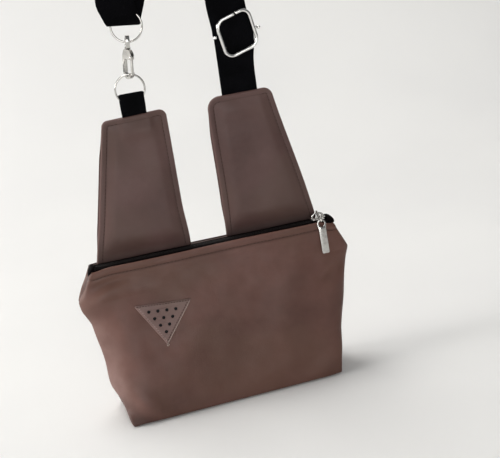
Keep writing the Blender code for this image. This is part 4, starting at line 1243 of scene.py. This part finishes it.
def stitch_route(side):
    """Places of a wing's top-stitching: up its left edge, round both corners and down its right edge."""
    corners = [max(radius, WING_STITCH + 1.0) for radius in WING_CORNERS[side]]
    tops = [WING_TOP - corner for corner in corners]
    left, right = wing_edges(side, tops[0])[0], wing_edges(side, tops[1])[1]
    places = [(wing_edges(side, z)[0] + WING_STITCH, z) for z in np.linspace(STITCH_FOOT, tops[0], 50)]
    places += arc((left + corners[0], tops[0]), corners[0] - WING_STITCH, 180.0, 90.0, 7)
    places += arc((right - corners[1], tops[1]), corners[1] - WING_STITCH, 90.0, 0.0, 7)
    return places + [(wing_edges(side, z)[1] - WING_STITCH, z) for z in np.linspace(tops[1], STITCH_FOOT, 50)]


def build_wing_stitches(side):
    """Top-stitching of a wing, seen on its front and on its back."""
    places = stitch_route(side)
    lines = []
    for sign in (-1, 1):
        points = [(x, WING_Y + sign * (wing_face(side, x, z, sign) + 0.05), z - wing_drop(side, x, z))
                  for x, z in places]
        lines.append((points, [(0.0, sign, 0.0)] * len(points)))
    run_threads("wing_%s_stitches" % side, lines, TOP_STITCH, "harness")


# Webbing

def band(points, x, halves):
    """Stations of a band whose path lies in the YZ plane: centre, width direction, normal and half width."""
    path = np.array([(x, WING_Y + y, z) for y, z in points])
    across = np.array((1.0, 0.0, 0.0))
    tangents = unit_rows(np.gradient(path, axis=0))
    widths = np.broadcast_to(halves, len(path))
    return [(p, across, np.cross(t, across), half) for p, t, half in zip(path, tangents, widths)]


def webbing(name, stations, body, stands_for, middle=0.0):
    """Woven band with rounded selvedges and a slight wave along its edges."""
    shares = np.sin(np.linspace(-math.pi / 2, math.pi / 2, 15))
    along = lengths_along([centre for centre, _, _, _ in stations])
    rings = []
    for (centre, across, normal, half), run in zip(stations, along):
        ring = []
        for face in (1, -1):
            for share in shares[::face]:
                rim = math.sqrt(max(1.0 - abs(share) ** 14, 0.0))
                wave = 0.12 * math.sin(run / 5.5 + 3.0 * share) * abs(share) ** 3
                lift = middle + face * WEB_T / 2 * (0.25 + 0.75 * rim) + wave
                ring.append(centre + across * half * share + normal * lift)
        rings.append(ring)
    width = 2 * float(np.median([half for _, _, _, half in stations]))
    face_uv = (shares + 1) * width / 2
    across_uv = np.concatenate([face_uv, width + 1.0 + face_uv, [2 * width + 2.0]])
    return lofted(name, rings, "webbing", body, stands_for, sharp=70.0,
                  across=across_uv, along=np.append(along, along[-1]))


def build_ring_tab():
    """Short webbing tab from the left wing up round the lower ring and back."""
    inside = (WEB_T + GAP) / 2
    crown = LOWER_C[1] - 3.0 - POCKET - WEB_T
    front = [(-inside, -WEB_IN), (-inside, -5.0), (-inside, 0.5),
             (-BEND + 0.8, 2.3), (-BEND + 0.3, 4.0), (-BEND, 6.0)]
    front = [(y, WING_TOP + rise) for y, rise in front]
    points = front + arc((0.0, crown), BEND, 180.0, 0.0, 21) + [(-y, z) for y, z in reversed(front)]
    webbing("ring_tab_webbing", band(points, LOWER_C[0], TAB_WEB / 2), "harness", ("ring_tab",))


def loop_stations(leg_x, side):
    """Half of the loop above the twist, a smooth curve from its leg to the apex; t is the way along it."""
    apex_x = (STRAP_X + FOLD_X) / 2
    stations = []
    for t in np.linspace(0.0, 1.0, 64):
        near = 2 * t ** 3 - 3 * t ** 2 + 1
        rise = t ** 3 - 2 * t ** 2 + t
        turn = t ** 3 - t ** 2
        x = near * leg_x + (1 - near) * apex_x - turn * side * LOOP_SWING[0]
        z = near * TWIST_Z + (1 - near) * APEX_Z + rise * LOOP_SWING[1]
        stations.append((x, z, t))
    return stations


def strap_stations(start, stop, left_shift):
    """Stations from the right leg over the apex to the left leg; the buckle crowds the right leg a little."""
    line = [(STRAP_X + right_lean(z), z, 0.0) for z in start] + loop_stations(STRAP_X, 1)
    line += list(reversed(loop_stations(FOLD_X, -1)[:-1])) + [(FOLD_X + left_shift(z), z, 0.0) for z in stop]
    path = np.array([(x, WING_Y, z) for x, z, _ in line])
    stations = []
    for (_, _, t), point, tangent in zip(line, path, unit_rows(np.gradient(path, axis=0))):
        turn = math.pi / 2 * smooth(t, 0.0, 1.0)
        flat = np.array((tangent[2], 0.0, -tangent[0]))
        across = flat * math.cos(turn) + np.array((0.0, 1.0, 0.0)) * math.sin(turn)
        near = math.exp(-((point[2] - CROWDED_AT) / CROWDED_REACH) ** 2)
        crowded = CROWDED * near if point[0] > 0 else 0.0
        point = point + np.array((crowded, 0.0, 0.0))
        stations.append((point, across, np.cross(tangent, across), STRAP_W / 2 + crowded))
    return stations


def leaning_band(points, share=1.0, crowded=0.0):
    """Stations of a band that leans as the right leg of the strap does, pushed wider in the buckle."""
    stations = []
    for centre, across, normal, half in band(points, STRAP_X, STRAP_W / 2):
        extra = crowded * math.exp(-((centre[2] - CROWDED_AT - 2.0) / CROWDED_REACH) ** 2)
        shift = np.array((share * right_lean(centre[2]) + 0.6 * extra, 0.0, 0.0))
        stations.append((centre + shift, across, normal, half + extra))
    return stations


def build_strap():
    """Outer run, inner run and the return from the twist down to the buckle."""
    start = np.linspace(WING_TOP - WEB_IN, 445.0, 60)
    stop = np.linspace(446.0, FOLD_TOP - 0.35, 30)
    webbing("strap_outer_webbing", strap_stations(start, stop, outer_lean), "harness", ("strap_outer",))
    webbing("strap_inner_webbing", strap_stations([], stop, inner_lean), "harness", ("strap_inner",), LAYER)
    points = [(LAYER, z) for z in np.linspace(335.3, TWIST_Z - GAP, 40)]
    obj = webbing("strap_return_webbing", leaning_band(points), "harness", ("strap_return",))
    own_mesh(obj)


def build_fold():
    """The strap's fold round the upper ring, tilted with it and a little narrower at its foot."""
    bottom = UPPER_C[1] + 1.8 + POCKET
    front = [(0.0, 0.0), (-0.2, 3.0), (-0.5, 6.0), (-1.2, 9.0), (-BEND + 0.5, 12.0), (-BEND, 16.0)]
    back = [(BEND, 16.0), (BEND - 0.2, 12.0), (BEND - 0.4, 9.0), (1.6, 6.0), (LAYER + 0.1, 3.0), (LAYER, 0.0)]
    points = [(y, FOLD_TOP - down) for y, down in front] + arc((0.0, bottom), BEND, 180.0, 360.0, 21)
    points += [(y, FOLD_TOP - down) for y, down in back]
    halves = [np.interp(z, (bottom - 2.3, bottom + 1.2), (13.0, STRAP_W / 2)) for _, z in points]
    stations = []
    for i, (centre, _, normal, half) in enumerate(band(points, FOLD_X, halves)):
        low = 1.0 - smooth(centre[2], bottom, FOLD_TOP - 2.0)
        lean = outer_lean(centre[2]) if i < len(points) // 2 else inner_lean(centre[2])
        across = np.array((math.cos(FOLD_TILT * low), 0.0, -math.sin(FOLD_TILT * low)))
        stations.append((centre + np.array((lean - FOLD_SHIFT * low, 0.0, 0.0)), across, normal, half))
    webbing("strap_fold_webbing", stations, "harness", ("strap_fold",))


def tack(x, y, z, half, way):
    """A straight row of stitches across a strap, seen from the front or the back."""
    return [(x + step, y, z) for step in np.linspace(-half, half, 20)], [(0.0, way, 0.0)] * 20


def build_fold_stitches():
    """Bar tacks where the strap is sewn above the upper ring."""
    lines = [tack(FOLD_X + outer_lean(z), WING_Y - WEB_T / 2 - 0.15, z, 13.0, -1.0) for z in (350.5, 352.7)]
    run_threads("strap_fold_stitches", lines, FOLD_STITCH, "harness")


# Rings and clasp

def build_rings():
    """Welded wire rings; the joint shows as a small swelling with a line through it."""
    angles = circle(160)
    for name, centre, radius, body, weld, yaw in RINGS:
        reach, rise = radius * np.cos(angles), radius * np.sin(angles)
        path = np.column_stack([centre[0] + reach * math.cos(yaw), WING_Y - reach * math.sin(yaw),
                                centre[1] + rise])
        apart = np.abs((np.degrees(angles) - weld + 180.0) % 360.0 - 180.0)
        radii = WIRE_RING + 0.10 * np.exp(-(apart / 4.5) ** 2) - 0.16 * np.exp(-(apart / 1.2) ** 2)
        wire_piece(name + "_wire", path, radii, "nickel", body, (name,), closed=True, sides=16)


def clasp_frame(yaw):
    """Frame at the clasp's foot along the line from ring to ring, and the length of that line."""
    lower = Vector((LOWER_C[0], WING_Y, LOWER_C[1]))
    upper = Vector((UPPER_C[0], WING_Y, UPPER_C[1]))
    along = (upper - lower).normalized()
    foot = lower + along * LOWER_R
    back = Vector((0.0, 1.0, 0.0))
    side = back.cross(along) * math.sin(yaw) - back * math.cos(yaw)
    frame = Matrix((side, along.cross(side), along)).transposed().to_4x4()
    frame.translation = foot
    return frame, (upper - along * UPPER_R - foot).length


def hook_outline(gate_open):
    """Outline of the clasp's hook and block; the middle layer leaves room for the gate."""
    outline = arc((0.0, HOOK_LOW - 1.9 + HOOK_HALF), HOOK_HALF, 0.0, -180.0, 37)
    outline += [(-HOOK_HALF, 13.0), (-HOOK_HALF + 0.15, 15.0), (-HOOK_HALF + 0.8, 17.2)]
    outline += [(-4.1, 18.6), (-3.0, BLOCK_TOP), (3.0, BLOCK_TOP)]
    if gate_open:
        outline += [(3.0, 16.3), (2.4, 15.6), (2.4, BLOCK_LOW)]
    else:
        outline += [(4.3, 18.5), (HOOK_HALF - 0.2, 17.0), (HOOK_HALF + 0.4, 15.2), (HOOK_HALF + 0.4, 13.0),
                    (HOOK_HALF - 0.2, BLOCK_LOW), (HOOK_INNER, BLOCK_LOW)]
    outline += [(-HOOK_INNER + 0.7, BLOCK_LOW), (-HOOK_INNER, BLOCK_LOW - 0.9)]
    outline += arc((0.0, HOOK_LOW + HOOK_INNER), HOOK_INNER, 180.0, 360.0, 25)
    return outline + [(HOOK_HALF, HOOK_LOW + HOOK_INNER)]


def build_hook():
    """Layered hook and block of the clasp with the post that its eye turns on."""
    frame, _ = clasp_frame(HOOK_YAW)
    pieces = []
    for shift, thickness, gate_open in ((-1.13, 0.74, False), (0.0, 1.5, True), (1.13, 0.74, False)):
        place = frame @ Matrix.Translation((0.0, shift, 0.0))
        pieces.append(plate_piece("layer", hook_outline(gate_open), [], thickness, place, 0.24))
    profile = [(-0.6, 1.5), (0.0, 1.5), (0.25, 1.0), (2.2, 1.0),
               (2.25, 1.5), (2.5, 1.75), (2.95, 1.6), (3.15, 1.0)]
    pieces.append(turned("post", frame, [(BLOCK_TOP + rise, radius) for rise, radius in profile]))
    merge("clasp_hook_body", pieces, "nickel", "clasp", ("clasp_body",))


def build_gate():
    """Sprung gate in the hook's middle layer, and the rivet that it turns on."""
    frame, _ = clasp_frame(HOOK_YAW)
    half = HOOK_WALL / 2 - 0.1
    outer, inner = HOOK_HALF, HOOK_HALF - 2 * half
    foot = HOOK_LOW + HOOK_INNER + 0.3
    outline = arc(GATE_PIVOT, 1.3, 0.0, 180.0, 17)
    outline += [(inner, BLOCK_LOW - 1.0), (inner, foot + 0.2), (inner + 0.3, foot)]
    outline += [(outer, foot), (outer, BLOCK_LOW - 1.0)]
    hole = arc(GATE_PIVOT, 0.7, 0.0, 345.0, 24)
    plate_piece("clasp_gate_lever", outline, [hole], 1.4, frame, 0.25, "gate", ("clasp_gate",))
    place = Matrix.Translation((GATE_PIVOT[0], 0.0, GATE_PIVOT[1]))
    across = frame @ place @ Matrix.Rotation(-math.pi / 2, 4, "X")
    profile = [(-1.75, 0.45), (-1.62, 0.68), (-1.5, 0.62), (1.5, 0.62), (1.62, 0.68), (1.75, 0.45)]
    turned("clasp_pin_rivet", across, profile, "clasp", ("clasp_pin",))


def build_eye():
    """Swivel eye round the upper ring, with the collar that stands on the post."""
    frame, length = clasp_frame(0.0)
    top = length + WIRE_RING + GAP - 2.4 + EYE_RISE
    base = BLOCK_TOP + 0.3
    outline = arc((0.0, top), 4.1, 0.0, 180.0, 33)
    outline += mirrored([(-4.1, base + 2.6), (-3.6, base + 1.2), (-2.4, base + 0.15)])
    hole = arc((0.0, top), 2.4, 0.0, 180.0, 25) + mirrored([(-2.4, base + 2.3), (-1.7, base + 1.65)])
    profile = [(0.0, 2.2), (0.2, 2.45), (1.2, 2.45), (1.45, 2.2)]
    pieces = [plate_piece("eye", outline, [hole], 3.0, frame, 0.5),
              turned("collar", frame, [(base + rise, radius) for rise, radius in profile])]
    merge("swivel_eye_loop", pieces, "nickel", "ring_high", ("swivel_eye",))


# Buckle

def build_buckle_frame():
    """Bent wire frame with rounded corners, slanted and turned, with its joint in the top bar."""
    x0, z0 = BUCKLE_C
    half_x, half_z = BUCKLE_HALF
    cos, sin = math.cos(BUCKLE_TURN), math.sin(BUCKLE_TURN)
    flat = [(BUCKLE_WELD[0], half_z)]
    for sign_x, sign_z, start in ((-1, 1, 90.0), (-1, -1, 180.0), (1, -1, 270.0), (1, 1, 0.0)):
        middle = (sign_x * (half_x - BUCKLE_CORNER), sign_z * (half_z - BUCKLE_CORNER))
        flat += arc(middle, BUCKLE_CORNER, start, start + 90.0, 19)
    flat.append((BUCKLE_WELD[1], half_z))
    slanted = [(a + BUCKLE_SLANT * c, c) for a, c in flat]
    points = [(x0 + a * cos - c * sin, WING_Y + BUCKLE_FRONT, z0 + a * sin + c * cos) for a, c in slanted]
    path, ends = even_path(points, 0.5)
    radii = BUCKLE_WIRE * unit(0.86 + 0.07 * ends)
    wire_piece("buckle_frame_wire", path, radii, "bright nickel", "buckle", ("buckle_frame",), sides=18)


def build_buckle_bar():
    """Wire bar behind the strap, its ends bent forward round the frame's sides."""
    x0, z0 = BUCKLE_C
    left = [(-BAR_REACH, BUCKLE_FRONT - 0.4)]
    left += [(-BAR_REACH + BAR_BEND * (1 - math.cos(a)), BAR_Y - BAR_BEND * (1 - math.sin(a)))
             for a in np.linspace(0.0, math.pi / 2, 9)]
    points = [(x0 + x, WING_Y + y, z0 + BAR_RISE + math.copysign(1.3, x) * smooth(abs(x), 15.0, 18.0))
              for x, y in left + [(-x, y) for x, y in reversed(left)]]
    path, ends = even_path(points, 0.45)
    radii = BAR_R * np.sqrt(unit(0.35 + 0.4 * ends)) + 0.25 * np.exp(-((ends - 2.0) / 2.2) ** 2)
    wire_piece("buckle_bar_wire", path, radii, "bright nickel", "buckle", ("buckle_bar",), sides=18)


def build_buckle_loop():
    """The strap's end sewn round the bar."""
    bar_z = BUCKLE_C[1] + BAR_RISE
    points = [(LAYER, z) for z in np.linspace(335.0, bar_z + 5.0, 10)]
    points += arc((BAR_Y, bar_z), LOOP_R, 180.0, 360.0, 21)
    back = 2 * LAYER
    points += [(BAR_Y + LOOP_R - 0.3, bar_z + 3.5), (back + 1.0, bar_z + 7.0), (back + 0.4, bar_z + 9.5)]
    points += [(back, z) for z in np.linspace(bar_z + 12.0, 333.0, 7)]
    webbing("buckle_loop_webbing", leaning_band(points, 0.6, 1.8), "buckle", ("buckle_loop",))
    y = WING_Y + back + WEB_T / 2 + 0.12
    lines = [tack(STRAP_X + right_lean(z), y, z, 12.5, 1.0) for z in (320.0, 329.0)]
    run_threads("buckle_loop_stitches", lines, LOOP_STITCH, "buckle")


# Stage, light and camera

def build_stage():
    """Pale floor that turns up into a pale wall; the wall lets a view from behind through."""
    bend = [(0.5 + 0.6 * math.sin(a), 0.6 - 0.6 * math.cos(a)) for a in np.linspace(0.1, math.pi / 2, 16)]
    profile = [(-2.5, 0.0), (0.5, 0.0)] + bend + [(1.1, 3.5)]
    verts = [(x, y, z - 0.0006) for y, z in profile for x in (-3.5, 3.5)]
    faces = [(2 * i, 2 * i + 1, 2 * i + 3, 2 * i + 2) for i in range(len(profile) - 1)]
    mesh = bpy.data.meshes.new("Backdrop")
    mesh.from_pydata(verts, [], faces)
    for polygon in mesh.polygons:
        polygon.use_smooth = True
    mesh.materials.append(pale_paper())
    stage = put("Backdrop", mesh)


def build_room():
    """A dim room all round, dimmer still behind the camera."""
    world = bpy.data.worlds.new("Soft studio")
    world.use_nodes = True
    tree = world.node_tree
    way = add_node(tree, "ShaderNodeTexCoord").outputs["Generated"]
    depth = add_node(tree, "ShaderNodeSeparateXYZ", {0: way}).outputs["Y"]
    level = add_node(tree, "ShaderNodeMapRange", {"Value": depth, "From Min": -0.75, "From Max": 0.25,
                                                  "To Min": ROOM_LEVEL, "To Max": WORLD_LEVEL})
    background = tree.nodes["Background"].inputs
    plug(tree, background["Color"], (0.96, 0.98, 1.0, 1.0))
    plug(tree, background["Strength"], level.outputs["Result"])
    bpy.context.scene.world = world


def build_lamps():
    """Soft light from a window on the left, and weaker lamps above and in front."""
    for name, place, aim, size, power, colour in LAMPS:
        data = bpy.data.lights.new(name, "AREA")
        data.shape = "RECTANGLE"
        data.size, data.size_y = size, size
        data.energy = power
        data.color = colour
        light = put(name, data)
        light.location = place
        light.rotation_euler = (Vector(place) - Vector(aim)).to_track_quat("Z", "Y").to_euler()


def build_camera():
    forward = Vector(CAMERA_FORWARD).normalized()
    right = forward.cross(Vector(CAMERA_UP)).normalized()
    place = Matrix((right, right.cross(forward), -forward)).transposed().to_4x4()
    place.translation = Vector(CAMERA_AT) * MM
    data = bpy.data.cameras.new("Camera")
    data.lens = CAMERA_LENS
    data.sensor_width = 36.0
    data.sensor_fit = "HORIZONTAL"
    data.clip_start = 0.01
    camera = put("Camera", data)
    camera.matrix_world = place
    bpy.context.scene.camera = camera


def build_bag():
    skin = Skin(build_pouch_leather())
    build_lining()
    build_hem_stitches(skin)
    build_patch_leather(skin)
    build_hole_floors(skin)
    build_patch_threads(skin)
    build_zip_tape()
    build_zip_coil()
    build_zip_ends()
    build_facing()
    build_slider()
    build_pull_link()
    build_pull_tab()
    for side in WING_SIDES:
        build_wing_layer(side, "front", -1)
        build_wing_layer(side, "back", 1)
    for side in WING_SIDES:
        build_wing_stitches(side)
    build_ring_tab()
    build_strap()
    build_fold()
    build_fold_stitches()
    build_rings()
    build_hook()
    build_gate()
    build_eye()
    build_buckle_frame()
    build_buckle_bar()
    build_buckle_loop()


# The scene

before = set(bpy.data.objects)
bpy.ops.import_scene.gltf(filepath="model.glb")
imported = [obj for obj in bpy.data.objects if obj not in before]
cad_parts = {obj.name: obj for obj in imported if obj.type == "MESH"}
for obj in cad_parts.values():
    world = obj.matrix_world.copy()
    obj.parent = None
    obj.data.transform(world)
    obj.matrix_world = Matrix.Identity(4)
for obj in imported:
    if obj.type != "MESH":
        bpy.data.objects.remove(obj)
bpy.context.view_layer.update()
bpy.context.scene.view_settings.view_transform = "Standard"
build_camera()
build_room()
build_lamps()
build_stage()
build_bag()
